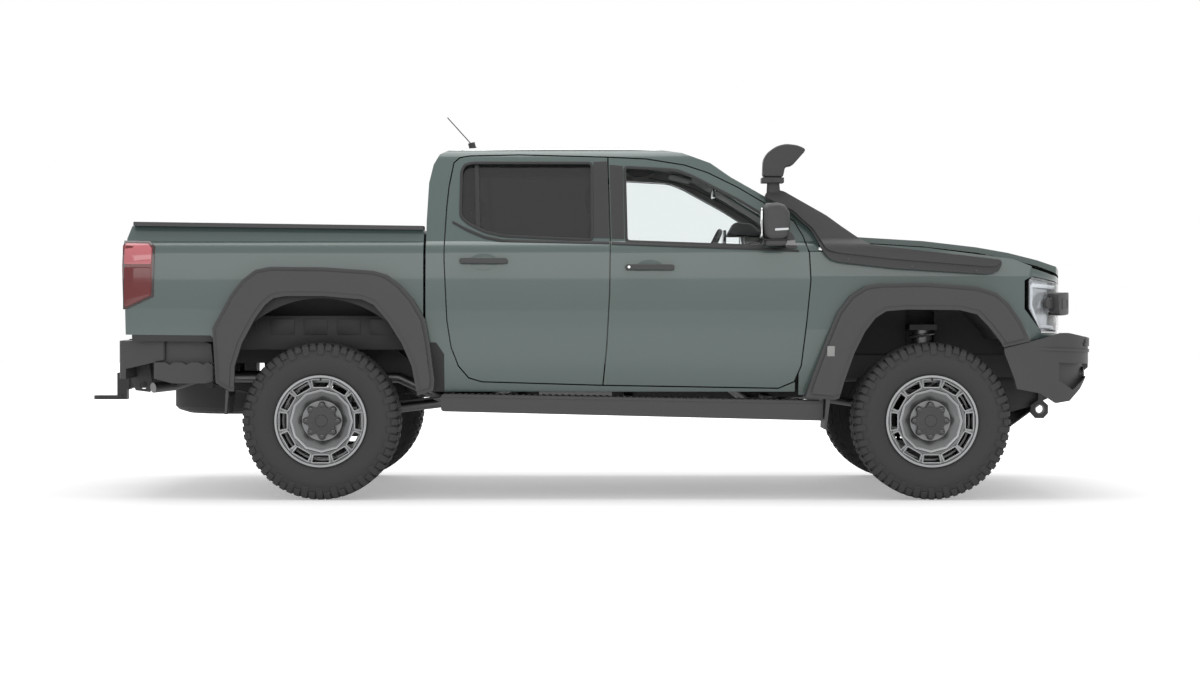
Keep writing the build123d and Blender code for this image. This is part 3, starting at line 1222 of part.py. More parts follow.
with BuildPart() as propshafts:
    shaft(
        GEARBOX_END, Vector(*GEARBOX_END) - Vector(*GEARBOX_START),
        PINION_END, Vector(*PINION_END) - Vector(*PINION_START), 50, 30,
    )
    shaft((cab(2320), -150, 575), Vector(1, 0, 0), (nose(3165), 0, 455), Vector(-1, 0, 0), 40, 22)
parts["propshafts"] = propshafts.part

with BuildPart() as fuel_tank:
    side_slab(at(cab, [(1100, 500), (1100, 679.7), (1580, 679.7), (1600, 600), (1570, 480), (1140, 480)]), 440, 740, radius=24)
parts["fuel_tank"] = fuel_tank.part

with BuildPart() as exhaust:
    rod((cab(1160), -560, 590), (cab(1560), -560, 590), 80)
    pipe(
        [
            (cab(1170), -560, 600), (cab(1010), -560, 600), (cab(860), -472, 520), (cab(640), -472, 520),
            (bed(380), -472, 640), (bed(-730), -472, 640), (bed(-850), -560, 600), (bed(-950), -660, 590),
        ],
        28, 60,
    )
    pipe(
        [
            (cab(1550), -560, 600), (cab(2200), -560, 600), (cab(2340), -460, 492), (cab(2500), -290, 492),
            (nose(2740), -225, 640), (nose(2830), -240, 790), (nose(2960) - SEAT_GAP, -240, 790),
        ],
        28, 60,
    )
parts["exhaust"] = exhaust.part

with BuildPart() as skid_plate:
    side_slab(
        at(
            nose,
            [
                (3985, 500), (3700, 290), (3480, 255.7), (3100, 255.7), (3100, 261.7), (3478, 261.7),
                (3697, 297), (3979, 507),
            ],
        ),
        -330, 330,
    )
parts["skid_plate"] = skid_plate.part

with BuildPart() as spare_rim:
    with BuildSketch(Plane.XZ) as section:
        with BuildLine():
            Polyline(
                (30, 0), (95, 0), (150, 24), (SPARE_BEAD - 9, 24), (SPARE_BEAD - 9, -85), (SPARE_BEAD, -85),
                (SPARE_BEAD, 85), (SPARE_BEAD - 9, 85), (SPARE_BEAD - 9, 33), (146, 33), (92, 9), (30, 9),
                close=True,
            )
        make_face()
    revolve(section.sketch, axis=Axis.Z)
SPARE_PLACE = Location((bed(SPARE_STATION), 0, SPARE_Z))
parts["spare_rim"] = spare_rim.part.moved(SPARE_PLACE)
spare = tyre_solid(SPARE_RADIUS, SPARE_WIDTH, SPARE_BEAD + SEAT_GAP, 96)
parts["spare_tyre"] = spare.moved(SPARE_PLACE * Location((0, 0, 0), (90, 0, 0)))

os.makedirs("parts", exist_ok=True)
for name, part in parts.items():
    part.label = name
    export_step(part, f"parts/{name}.step")
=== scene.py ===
"""Visual model of the lifted double-cab pickup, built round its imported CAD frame."""
import json
import math

import bpy
from mathutils import Matrix, Vector


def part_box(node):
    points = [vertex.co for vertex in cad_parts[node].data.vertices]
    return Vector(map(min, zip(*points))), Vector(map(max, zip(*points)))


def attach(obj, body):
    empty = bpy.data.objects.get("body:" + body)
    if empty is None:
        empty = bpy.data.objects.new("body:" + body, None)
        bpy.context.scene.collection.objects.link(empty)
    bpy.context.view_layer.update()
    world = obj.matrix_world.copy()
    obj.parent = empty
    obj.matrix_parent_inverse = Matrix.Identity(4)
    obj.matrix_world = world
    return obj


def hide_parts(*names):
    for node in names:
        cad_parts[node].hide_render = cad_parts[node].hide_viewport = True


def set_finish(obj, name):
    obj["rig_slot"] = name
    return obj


bl_info = {
    "name": "Off-road pickup",
    "version": (1, 0, 0),
    "blender": (4, 5, 0),
    "location": "View3D > Sidebar > Pickup",
    "description": "Adds the finish and the fine pieces of a lifted double-cab pickup to its CAD frame",
    "category": "Object",
}

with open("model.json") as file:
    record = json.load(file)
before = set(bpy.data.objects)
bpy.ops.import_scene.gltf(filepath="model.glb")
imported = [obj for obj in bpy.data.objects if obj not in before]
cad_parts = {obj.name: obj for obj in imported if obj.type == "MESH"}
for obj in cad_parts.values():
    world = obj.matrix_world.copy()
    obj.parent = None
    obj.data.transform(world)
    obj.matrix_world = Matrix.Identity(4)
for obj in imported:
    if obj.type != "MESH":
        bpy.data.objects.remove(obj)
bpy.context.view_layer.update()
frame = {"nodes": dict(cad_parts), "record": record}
NODES = frame["nodes"]
SLOT_OF = {row["node"]: row["material_slot"] for row in frame["record"]["subparts"]}


# Places and forms, worked out from the frame


def middle(node):
    low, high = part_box(node)
    return (low + high) / 2


REAR_WHEEL = middle("tyre_rear_right")
FRONT_WHEEL = middle("tyre_front_right")
XR, XF = REAR_WHEEL.x, FRONT_WHEEL.x
AXLE_Z = REAR_WHEEL.z
TRACK = -REAR_WHEEL.y
TYRE_RADIUS = (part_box("tyre_rear_right")[1].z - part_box("tyre_rear_right")[0].z) / 2
TYRE_HALF = (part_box("tyre_rear_right")[1].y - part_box("tyre_rear_right")[0].y) / 2


def bed(station):
    """x of a station in mm ahead of the rear axle."""
    return XR + station / 1000


def nose(station):
    """x of a station measured with the front axle at 3270."""
    return XF + (station - 3270) / 1000


def at(place, points):
    """(station, height) points in millimetres as (x, z) points in metres."""
    return [(place(station), z / 1000) for station, z in points]


def circle_through(first, second, third):
    """Centre and radius of the circle through three (y, z) points."""
    (ay, az), (by, bz), (cy, cz) = first, second, third
    spread = 2 * (ay * (bz - cz) + by * (cz - az) + cy * (az - bz))
    a, b, c = ay ** 2 + az ** 2, by ** 2 + bz ** 2, cy ** 2 + cz ** 2
    y = (a * (bz - cz) + b * (cz - az) + c * (az - bz)) / spread
    z = (a * (cy - by) + b * (ay - cy) + c * (by - ay)) / spread
    return y, z, math.hypot(ay - y, az - z)


# The body's section: a long side arc, a round shoulder, the leaning glass and the cant rail
SIDE_ARC = circle_through((0.905, 0.560), (0.951, 0.930), (0.940, 1.320))
SHOULDER_ARC = circle_through((0.940, 1.320), (0.928, 1.3566), (0.902, 1.385))
CANT_ARC = circle_through((0.712, 1.838), (0.6865, 1.8717), (0.648, 1.889))


def side_y(z):
    """How far out the body's side lies at height z."""
    if 1.385 < z <= 1.838:
        return 0.902 - (z - 1.385) / 0.453 * 0.190
    arc = SIDE_ARC if z <= 1.320 else SHOULDER_ARC if z <= 1.385 else CANT_ARC
    return arc[0] + math.sqrt(max(arc[2] ** 2 - (z - arc[1]) ** 2, 0.0))


class PlanCurve:
    """The nose or the bumper seen from above, from the middle out to the right side."""

    def __init__(self, points, step=0.01):
        points = [(nose(x), -y / 1000) for x, y in points]
        ghosts = [(points[1][0], -points[1][1])] + points + [points[-1]]
        self.spots = []
        for index in range(1, len(ghosts) - 2):
            before, start, end, after = (Vector(p) for p in ghosts[index - 1:index + 3])
            count = max(int((end - start).length / step), 2)
            for share in (i / count for i in range(count)):
                self.spots.append(0.5 * (
                    2 * start + (end - before) * share
                    + (2 * before - 5 * start + 4 * end - after) * share ** 2
                    + (3 * start - before - 3 * end + after) * share ** 3))
        self.spots.append(Vector(points[-1]))
        self.reach = [0.0]
        for start, end in zip(self.spots, self.spots[1:]):
            self.reach.append(self.reach[-1] + (end - start).length)

    def place(self, along, lift):
        """The point that lies along the curve and lift outside it."""
        index = 0
        while index < len(self.spots) - 2 and self.reach[index + 1] < along:
            index += 1
        start, end = self.spots[index], self.spots[index + 1]
        way = (end - start).normalized()
        spot = start + way * (along - self.reach[index])
        return spot.x - way.y * lift, spot.y + way.x * lift

    def at_x(self, x):
        """How far along the curve it passes x."""
        for index, spot in enumerate(self.spots):
            if spot.x <= x and index:
                return self.reach[index]
        return self.reach[-1]

    def at_half(self, half):
        """How far along the curve it lies this far out from the middle."""
        for index, spot in enumerate(self.spots):
            if -spot.y >= half:
                return self.reach[index]
        return self.reach[-1]


NOSE = PlanCurve([(4040, 0), (4030, 450), (4003, 640), (3960, 800), (3880, 900), (3790, 950)])
BUMPER = PlanCurve([(4175, 0), (4168, 450), (4148, 740), (4085, 880), (3930, 965), (3640, 990)])

REAR_WINDOW = at(bed, [
    (746, 1522), (746, 1770), (762, 1803), (804, 1813), (1446, 1812), (1450, 1396), (973, 1418), (875, 1440),
    (785, 1486)])
FRONT_WINDOW = at(bed, [
    (1640, 1388), (1632, 1789), (1905, 1774), (1985, 1744), (2241, 1608), (2366, 1530), (2372, 1362)])


# Sizes and colours that a user may change


class PickupSizes(bpy.types.PropertyGroup):
    lug_count: bpy.props.IntProperty(
        name="Tread lugs", description="Shoulder lugs round each tyre", default=60, min=30, max=90)
    lug_height: bpy.props.FloatProperty(
        name="Lug height", description="Depth of the tread blocks", default=0.011, unit="LENGTH")
    nut_circle: bpy.props.FloatProperty(
        name="Nut circle", description="Radius on which the wheel nuts sit", default=0.085, unit="LENGTH")
    nut_count: bpy.props.IntProperty(
        name="Wheel nuts", description="Nuts on each wheel", default=8, min=4, max=10)
    seal_width: bpy.props.FloatProperty(
        name="Window seal", description="Width of the rubber round each side window", default=0.015,
        unit="LENGTH")
    seat_swell: bpy.props.FloatProperty(
        name="Seat swell", description="How far a seat pad may swell", default=0.014, unit="LENGTH")
    camera_reach: bpy.props.FloatProperty(
        name="Camera distance", description="Camera to the middle of the vehicle", default=14.06,
        unit="LENGTH")
    camera_height: bpy.props.FloatProperty(
        name="Camera height", description="Camera above the ground", default=1.043, unit="LENGTH")
    lens: bpy.props.FloatProperty(
        name="Lens", description="Focal length in millimetres on a 36 mm sensor", default=73.5)


class PickupColours(bpy.types.PropertyGroup):
    paint: bpy.props.FloatVectorProperty(
        name="Paint", description="Body colour", subtype="COLOR", size=3, default=(0.070, 0.106, 0.098))
    trim: bpy.props.FloatVectorProperty(
        name="Trim", description="Grained plastic trim", subtype="COLOR", size=3,
        default=(0.052, 0.052, 0.054))
    rubber: bpy.props.FloatVectorProperty(
        name="Rubber", description="Tyres", subtype="COLOR", size=3, default=(0.040, 0.040, 0.041))
    alloy: bpy.props.FloatVectorProperty(
        name="Wheels", description="Wheel alloy", subtype="COLOR", size=3, default=(0.17, 0.172, 0.175))
    lamp_red: bpy.props.FloatVectorProperty(
        name="Tail lamps", description="Red lens", subtype="COLOR", size=3, default=(0.17, 0.003, 0.004))


# Shader groups: each gives out only masks and heights


def new_group(name, inputs, outputs):
    group = bpy.data.node_groups.new(name, "ShaderNodeTree")
    for label, kind, value in inputs:
        socket = group.interface.new_socket(name=label, in_out="INPUT", socket_type=kind)
        socket.default_value = value
    for label, kind in outputs:
        group.interface.new_socket(name=label, in_out="OUTPUT", socket_type=kind)
    return group, group.nodes.new("NodeGroupInput"), group.nodes.new("NodeGroupOutput")


def node(tree, kind, **values):
    made = tree.nodes.new(kind)
    for key, value in values.items():
        if key in ("operation", "blend_type", "data_type", "noise_dimensions", "feature",
                   "interpolation_type"):
            setattr(made, key, value)
        else:
            made.inputs[key.replace("_", " ")].default_value = value
    return made


def combined(tree, operation, *values):
    """The result of a math node that is fed with sockets or plain numbers."""
    made = node(tree, "ShaderNodeMath", operation=operation)
    for socket, value in zip(made.inputs, values):
        if isinstance(value, bpy.types.NodeSocket):
            tree.links.new(value, socket)
        else:
            socket.default_value = value
    return made.outputs[0]


def grain_group():
    """Fine moulded grain with slow patches: a height and a patch mask."""
    group, given, out = new_group(
        "Moulded grain",
        [("Scale", "NodeSocketFloat", 600.0), ("Patch scale", "NodeSocketFloat", 6.0)],
        [("Height", "NodeSocketFloat"), ("Patches", "NodeSocketFloat")],
    )
    place = group.nodes.new("ShaderNodeTexCoord")
    cells = node(group, "ShaderNodeTexVoronoi", feature="SMOOTH_F1")
    patches = node(group, "ShaderNodeTexNoise", Detail=4.0, Roughness=0.6)
    link = group.links.new
    link(place.outputs["Object"], cells.inputs["Vector"])
    link(place.outputs["Object"], patches.inputs["Vector"])
    link(given.outputs["Scale"], cells.inputs["Scale"])
    link(given.outputs["Patch scale"], patches.inputs["Scale"])
    link(cells.outputs["Distance"], out.inputs["Height"])
    link(patches.outputs["Fac"], out.inputs["Patches"])
    return group


def dust_group():
    """Road dust: more of it low down and in slow clouds."""
    group, given, out = new_group(
        "Road dust",
        [("Top", "NodeSocketFloat", 0.9), ("Amount", "NodeSocketFloat", 0.3)],
        [("Mask", "NodeSocketFloat")],
    )
    place = group.nodes.new("ShaderNodeTexCoord")
    split = group.nodes.new("ShaderNodeSeparateXYZ")
    clouds = node(group, "ShaderNodeTexNoise", Scale=5.0, Detail=6.0, Roughness=0.65)
    low = node(group, "ShaderNodeMapRange", From_Min=0.0, To_Min=1.0, To_Max=0.0)
    link = group.links.new
    link(place.outputs["Object"], split.inputs["Vector"])
    link(place.outputs["Object"], clouds.inputs["Vector"])
    link(split.outputs["Z"], low.inputs["Value"])
    link(given.outputs["Top"], low.inputs["From Max"])
    cloudy = combined(group, "MULTIPLY", low.outputs["Result"], clouds.outputs["Fac"])
    link(combined(group, "MULTIPLY", cloudy, given.outputs["Amount"]), out.inputs["Mask"])
    return group


def ring_group():
    """Fine turned rings about each wheel's own axle."""
    group, given, out = new_group(
        "Turned rings", [("Scale", "NodeSocketFloat", 900.0)], [("Height", "NodeSocketFloat")])
    link = group.links.new
    place = group.nodes.new("ShaderNodeTexCoord")
    split = group.nodes.new("ShaderNodeSeparateXYZ")
    link(place.outputs["Object"], split.inputs["Vector"])
    fold = combined(group, "SUBTRACT", split.outputs["X"], (XF + XR) / 2)
    away = combined(group, "SUBTRACT", combined(group, "ABSOLUTE", fold), (XF - XR) / 2)
    spot = group.nodes.new("ShaderNodeCombineXYZ")
    link(away, spot.inputs["X"])
    link(combined(group, "SUBTRACT", split.outputs["Z"], AXLE_Z), spot.inputs["Y"])
    length = node(group, "ShaderNodeVectorMath", operation="LENGTH")
    link(spot.outputs[0], length.inputs[0])
    rings = node(group, "ShaderNodeTexNoise", noise_dimensions="1D", Detail=2.0)
    link(given.outputs["Scale"], rings.inputs["Scale"])
    link(length.outputs["Value"], rings.inputs["W"])
    link(rings.outputs["Fac"], out.inputs["Height"])
    return group


def weave_group():
    """Woven threads along and across, as a height."""
    group, given, out = new_group(
        "Weave", [("Scale", "NodeSocketFloat", 260.0)], [("Height", "NodeSocketFloat")])
    link = group.links.new
    place = group.nodes.new("ShaderNodeTexCoord")
    waves = []
    for way in ("X", "Z"):
        wave = group.nodes.new("ShaderNodeTexWave")
        wave.bands_direction = way
        wave.inputs["Distortion"].default_value = 0.6
        link(place.outputs["Object"], wave.inputs["Vector"])
        link(given.outputs["Scale"], wave.inputs["Scale"])
        waves.append(wave)
    link(combined(group, "MULTIPLY", *(wave.outputs["Fac"] for wave in waves)), out.inputs["Height"])
    return group


GROUPS = {}
MATERIALS = {}
# A colour mix's own sockets: first colour, second colour and result
MIX_FIRST, MIX_SECOND, MIX_RESULT = 6, 7, 2


# Half spaces of (forward, outward, up) whose overlap is one region: inside where a*x + b*|y| + c*z < d
def box_region(x_low, x_high, y_low, y_high, z_low, z_high):
    return [(-1, 0, 0, -x_low), (1, 0, 0, x_high), (0, -1, 0, -y_low), (0, 1, 0, y_high), (0, 0, -1, -z_low),
        (0, 0, 1, z_high)]


def outline_region(points, y_low, y_high):
    """The region inside an outline that bulges outwards all round, given in side view."""
    area = sum(a[0] * b[1] - b[0] * a[1] for a, b in zip(points, points[1:] + points[:1]))
    turn = 1 if area > 0 else -1
    region = [(0, -1, 0, -y_low), (0, 1, 0, y_high)]
    for start, end in zip(points, points[1:] + points[:1]):
        way = (Vector(end) - Vector(start)).normalized() * turn
        region.append((way.y, 0, -way.x, way.y * start[0] - way.x * start[1]))
    return region


# The rear flare's inner edge, a little outside it
REAR_ARCH = at(bed, [
    (-478, 300), (-461, 719), (-422, 844), (-350, 979), (-296, 1052), (-249, 1088), (-184, 1100), (22, 1100),
    (228, 1081), (292, 1052), (365, 969), (445, 844), (499, 718), (528, 560), (528, 300)])
ARCH_SLOPE = (0.8256, 0.5642)
# Regions where body paint is painted near black as shade: the rear wheel box, the rear arch's inner edge,
# under the bed, round the front wheels and under the whole body
UNDERBODY_SHADE = [
    box_region(XR - 0.66, XR + 0.66, 0.5675, 0.945, 0.0, 1.1225) + [
        (ARCH_SLOPE[0], 0, ARCH_SLOPE[1], ARCH_SLOPE[0] * XR + ARCH_SLOPE[1] * AXLE_Z + 0.7475),
        (-ARCH_SLOPE[0], 0, ARCH_SLOPE[1], -ARCH_SLOPE[0] * XR + ARCH_SLOPE[1] * AXLE_Z + 0.7475)],
    outline_region(REAR_ARCH, 0.80, 0.98),
    box_region(bed(-985), bed(560), 0.0, 0.945, 0.0, 0.983),
    box_region(nose(2775), nose(3765), 0.0, 0.922, 0.0, 1.25),
    box_region(bed(-1200), nose(4300), 0.0, 0.865, 0.0, 0.725),
]
CABIN = [
    box_region(bed(563), bed(2600), 0.0, 0.85, 0.735, 1.911) + [
        (-1, 0, 0.129, -bed(563) + 0.129 * 1.456),
        (0, 1, 0.4194, 0.902 - 0.035 + 0.4194 * 1.385),
        (0, 0.075, 1, 1.911),
        (0.19, 0, 1, 1.870 + 0.19 * bed(1800)),
        (0.456, 0, 1, 1.8415 + 0.456 * bed(1950)),
        (0.6, 0, 1, 1.751 + 0.6 * bed(2150)),
        (-0.67, 0, 1, 1.802 - 0.67 * bed(600))],
]


def region_group(name, regions):
    """A mask that is one inside any of the regions."""
    tree, _, output = new_group(name, (), (("Mask", "NodeSocketFloat"),))
    place = tree.nodes.new("ShaderNodeTexCoord")
    out = node(tree, "ShaderNodeVectorMath", operation="ABSOLUTE")
    parts = tree.nodes.new("ShaderNodeSeparateXYZ")
    outward = tree.nodes.new("ShaderNodeSeparateXYZ")
    spot = tree.nodes.new("ShaderNodeCombineXYZ")
    link = tree.links.new
    link(place.outputs["Object"], out.inputs[0])
    link(place.outputs["Object"], parts.inputs[0])
    link(out.outputs[0], outward.inputs[0])
    link(parts.outputs["X"], spot.inputs["X"])
    link(outward.outputs["Y"], spot.inputs["Y"])
    link(parts.outputs["Z"], spot.inputs["Z"])
    whole = None
    for region in regions:
        inside = None
        for *normal, limit in region:
            dot = node(tree, "ShaderNodeVectorMath", operation="DOT_PRODUCT")
            dot.inputs[1].default_value = normal
            link(spot.outputs[0], dot.inputs[0])
            under = combined(tree, "LESS_THAN", dot.outputs["Value"], limit)
            inside = under if inside is None else combined(tree, "MINIMUM", inside, under)
        whole = inside if whole is None else combined(tree, "MAXIMUM", whole, inside)
    link(whole, output.inputs["Mask"])
    return tree


def region_colour_and_shade(material, group, colour, roughness):
    """Gives a material another colour and no gloss inside a region; used for the cabin's own lining colour
    and for near-black painted shade under the body.
    """
    tree = material.node_tree
    link = tree.links.new
    shader = tree.nodes["Principled BSDF"]
    mask = tree.nodes.new("ShaderNodeGroup")
    mask.node_tree = GROUPS[group]
    for socket, kind, value in (("Base Color", "RGBA", (*colour, 1.0)), ("Roughness", "FLOAT", roughness),
                                ("Coat Weight", "FLOAT", 0.0)):
        blend = node(tree, "ShaderNodeMix", data_type=kind)
        first, second, result = (MIX_FIRST, MIX_SECOND, MIX_RESULT) if kind == "RGBA" else (2, 3, 0)
        target = shader.inputs[socket]
        if target.links:
            link(target.links[0].from_socket, blend.inputs[first])
        else:
            blend.inputs[first].default_value = target.default_value
        blend.inputs[second].default_value = value
        link(mask.outputs["Mask"], blend.inputs[0])
        link(blend.outputs[result], target)


def finish(name, colour, roughness, metallic=0.0, grain=0.0, grain_scale=600.0, patch=0.12, dust=0.0,
           dust_top=0.9, dust_colour=(0.16, 0.14, 0.12, 1.0), roughness_spread=0.1, relief="grain",
           relief_depth=0.0006, **sockets):
    """A principled material with relief in its bump, patches in its colour and dust low down."""
    material = bpy.data.materials.new(name)
    material.use_nodes = True
    tree = material.node_tree
    shader = tree.nodes["Principled BSDF"]
    shader.inputs["Metallic"].default_value = metallic
    for socket, value in sockets.items():
        shader.inputs[socket.replace("_", " ")].default_value = value
    grains = tree.nodes.new("ShaderNodeGroup")
    grains.node_tree = GROUPS["grain"]
    grains.inputs["Scale"].default_value = grain_scale
    link = tree.links.new
    colour_out = None
    if patch:
        shade = node(tree, "ShaderNodeMix", data_type="RGBA", blend_type="MIX")
        shade.inputs[MIX_FIRST].default_value = (*(c * (1 - patch) for c in colour), 1.0)
        shade.inputs[MIX_SECOND].default_value = (*(min(c * (1 + patch), 1) for c in colour), 1.0)
        link(grains.outputs["Patches"], shade.inputs[0])
        colour_out = shade.outputs[MIX_RESULT]
    if dust:
        dusty = tree.nodes.new("ShaderNodeGroup")
        dusty.node_tree = GROUPS["dust"]
        dusty.inputs["Top"].default_value = dust_top
        dusty.inputs["Amount"].default_value = dust
        cover = node(tree, "ShaderNodeMix", data_type="RGBA", blend_type="MIX")
        link(dusty.outputs["Mask"], cover.inputs[0])
        if colour_out:
            link(colour_out, cover.inputs[MIX_FIRST])
        else:
            cover.inputs[MIX_FIRST].default_value = (*colour, 1.0)
        cover.inputs[MIX_SECOND].default_value = dust_colour
        colour_out = cover.outputs[MIX_RESULT]
    if colour_out:
        link(colour_out, shader.inputs["Base Color"])
    else:
        shader.inputs["Base Color"].default_value = (*colour, 1.0)
    rough = tree.nodes.new("ShaderNodeMapRange")
    rough.inputs["To Min"].default_value = max(roughness - roughness_spread / 2, 0.0)
    rough.inputs["To Max"].default_value = min(roughness + roughness_spread / 2, 1.0)
    link(grains.outputs["Patches"], rough.inputs["Value"])
    link(rough.outputs["Result"], shader.inputs["Roughness"])
    if grain:
        heights = grains.outputs["Height"]
        if relief != "grain":
            shaped = tree.nodes.new("ShaderNodeGroup")
            shaped.node_tree = GROUPS[relief]
            shaped.inputs["Scale"].default_value = grain_scale
            heights = shaped.outputs["Height"]
        bump = node(tree, "ShaderNodeBump", Strength=grain, Distance=relief_depth)
        link(heights, bump.inputs["Height"])
        link(bump.outputs["Normal"], shader.inputs["Normal"])
    MATERIALS[name] = material
    return material


def make_materials(colours):
    GROUPS["grain"] = grain_group()
    GROUPS["dust"] = dust_group()
    GROUPS["rings"] = ring_group()
    GROUPS["weave"] = weave_group()
    GROUPS["underbody"] = region_group("Underbody", UNDERBODY_SHADE)
    GROUPS["cabin"] = region_group("Cabin", CABIN)
    finish("body_paint", colours.paint, 0.34, grain=0.02, grain_scale=1500.0, patch=0.015,
        roughness_spread=0.04, dust=0.10, dust_top=0.75, Coat_Weight=0.6, Coat_Roughness=0.05, Coat_IOR=1.5)
    region_colour_and_shade(MATERIALS["body_paint"], "cabin", (0.26, 0.26, 0.25), 0.75)
    # Painted shade: inside the arches and under the body the paint turns near black and matte
    region_colour_and_shade(MATERIALS["body_paint"], "underbody", (0.016, 0.016, 0.017), 0.65)
    finish("frame_black", (0.020, 0.020, 0.021), 0.55, grain=0.25, grain_scale=260.0, dust=0.16,
        dust_colour=(0.07, 0.066, 0.06, 1.0))
    finish("trim_plastic", colours.trim, 0.55, grain=0.55, grain_scale=700.0, patch=0.06, dust=0.10)
    finish("tyre", colours.rubber, 0.75, grain=0.35, grain_scale=420.0, patch=0.14, dust=0.10,
        dust_colour=(0.10, 0.095, 0.09, 1.0))
    finish("wheel_alloy", colours.alloy, 0.36, metallic=0.85, patch=0.05, grain=0.12, grain_scale=900.0,
        relief="rings", relief_depth=0.0004, Coat_Weight=0.25, Coat_Roughness=0.15)
    finish("bright_alloy", tuple(min(c * 1.75, 0.8) for c in colours.alloy), 0.36, metallic=0.95, patch=0.04,
        grain=0.10, grain_scale=900.0, relief="rings", relief_depth=0.0004)
    finish("steel", (0.17, 0.17, 0.172), 0.42, metallic=0.9, grain=0.2, grain_scale=300.0, dust=0.2)
    finish("iron", (0.055, 0.054, 0.053), 0.62, metallic=0.4, grain=0.5, grain_scale=220.0, dust=0.25)
    finish("clear_glass", (0.90, 0.93, 0.93), 0.02, patch=0.0, roughness_spread=0.02, Transmission_Weight=1.0,
        IOR=1.15)
    finish("dark_glass", (0.10, 0.10, 0.105), 0.03, patch=0.0, roughness_spread=0.02,
        Transmission_Weight=0.85, IOR=1.2, Coat_Weight=0.6)
    finish("lamp_clear", (0.93, 0.95, 0.97), 0.02, patch=0.0, roughness_spread=0.02, Transmission_Weight=0.95,
        IOR=1.2, Coat_Weight=0.5)
    finish("lamp_red", colours.lamp_red, 0.12, patch=0.05, Transmission_Weight=0.1, Coat_Weight=0.3,
        Coat_Roughness=0.03)
    finish("lamp_rose", (0.60, 0.13, 0.15), 0.15, patch=0.08, Coat_Weight=1.0, Coat_Roughness=0.03)
    finish("lamp_silver", (0.62, 0.63, 0.64), 0.25, metallic=0.6, patch=0.05)
    # White lamp lens; the same colour is also painted across the tail lamps as a reflection band
    finish("lamp_white_and_painted_reflection", (0.80, 0.82, 0.84), 0.2, patch=0.03, Coat_Weight=0.5)
    finish("cabin_plastic", (0.035, 0.035, 0.037), 0.6, grain=0.5, grain_scale=900.0)
    finish("cabin_lining", (0.30, 0.30, 0.29), 0.85, grain=0.4, grain_scale=1400.0)
    finish("cloth", (0.050, 0.050, 0.054), 0.9, grain=0.6, grain_scale=260.0, relief="weave",
        relief_depth=0.0008, Sheen_Weight=0.3)
    finish("snorkel_plastic", (0.030, 0.030, 0.031), 0.5, grain=0.5, grain_scale=800.0, patch=0.08, dust=0.05,
        dust_top=1.6)
    finish("gloss_black", (0.012, 0.012, 0.013), 0.12, patch=0.1, Coat_Weight=0.6)
    finish("seal_rubber", (0.014, 0.014, 0.015), 0.6, grain=0.3)
    finish("chrome", (0.72, 0.73, 0.74), 0.08, metallic=1.0, patch=0.02)
    finish("plate_blank", (0.33, 0.33, 0.32), 0.4, patch=0.04, grain=0.1)


# Modelling helpers

# Corners closer than this are one corner
MERGE_GAP = 0.00002


def clear_selection():
    if bpy.context.object and bpy.context.object.mode != "OBJECT":
        bpy.ops.object.mode_set(mode="OBJECT")
    bpy.ops.object.select_all(action="DESELECT")


def only(obj):
    clear_selection()
    obj.select_set(True)
    bpy.context.view_layer.objects.active = obj


def apply_place(obj):
    only(obj)
    bpy.ops.object.transform_apply(location=True, rotation=True, scale=True)


def add_modifier(obj, kind, **values):
    only(obj)
    made = obj.modifiers.new(kind.title(), kind)
    for key, value in values.items():
        setattr(made, key, value)
    bpy.ops.object.modifier_apply(modifier=made.name)


def soften(obj, width, segments, angle=50):
    """Rounds the edges that turn by more than an angle in degrees."""
    add_modifier(obj, "BEVEL", width=width, segments=segments, limit_method="ANGLE",
        angle_limit=math.radians(angle))


def face_out(obj):
    """Merges doubled corners and turns the faces outwards."""
    only(obj)
    bpy.ops.object.mode_set(mode="EDIT")
    bpy.ops.mesh.select_all(action="SELECT")
    bpy.ops.mesh.remove_doubles(threshold=MERGE_GAP)
    bpy.ops.mesh.normals_make_consistent(inside=False)
    bpy.ops.object.mode_set(mode="OBJECT")


def settle(obj, name, body, material, slot=None, bevel=0.0, segments=2, smooth=35.0):
    """Bevels, shades, names, paints and mounts a finished piece."""
    apply_place(obj)
    face_out(obj)
    if bevel:
        add_modifier(obj, "BEVEL", width=bevel, segments=segments, limit_method="ANGLE",
            angle_limit=math.radians(30), harden_normals=False)
    only(obj)
    bpy.ops.object.shade_smooth_by_angle(angle=math.radians(smooth))
    obj.name = name
    obj.data.name = name
    obj.data.materials.clear()
    obj.data.materials.append(MATERIALS[material])
    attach(obj, body)
    if slot:
        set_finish(obj, slot)
    return obj


def loop_of(points, place, fill=True):
    """A flat outline from a circle primitive whose corners go to the given points."""
    clear_selection()
    bpy.ops.mesh.primitive_circle_add(vertices=len(points), radius=1.0,
        fill_type="NGON" if fill else "NOTHING")
    obj = bpy.context.object
    for vertex, point in zip(obj.data.vertices, points):
        vertex.co = place(*point)
    return obj


def push(obj, way):
    """Extrudes a flat outline into a solid."""
    only(obj)
    bpy.ops.object.mode_set(mode="EDIT")
    bpy.ops.mesh.select_all(action="SELECT")
    bpy.ops.mesh.extrude_region_move(TRANSFORM_OT_translate={"value": way})
    bpy.ops.object.mode_set(mode="OBJECT")
    return obj


def slab(points, low, high, axis="Y"):
    """A side-view outline pushed across the vehicle, or along another axis."""
    ways = {
        "Y": (lambda a, b: (a, low, b), (0, high - low, 0)),
        "Z": (lambda a, b: (a, b, low), (0, 0, high - low)),
        "X": (lambda a, b: (low, a, b), (high - low, 0, 0)),
    }
    place, way = ways[axis]
    return push(loop_of(points, place), way)


def brick(low, high):
    clear_selection()
    size = [high[i] - low[i] for i in range(3)]
    bpy.ops.mesh.primitive_cube_add(size=1.0, location=[(high[i] + low[i]) / 2 for i in range(3)], scale=size)
    obj = bpy.context.object
    apply_place(obj)
    return obj


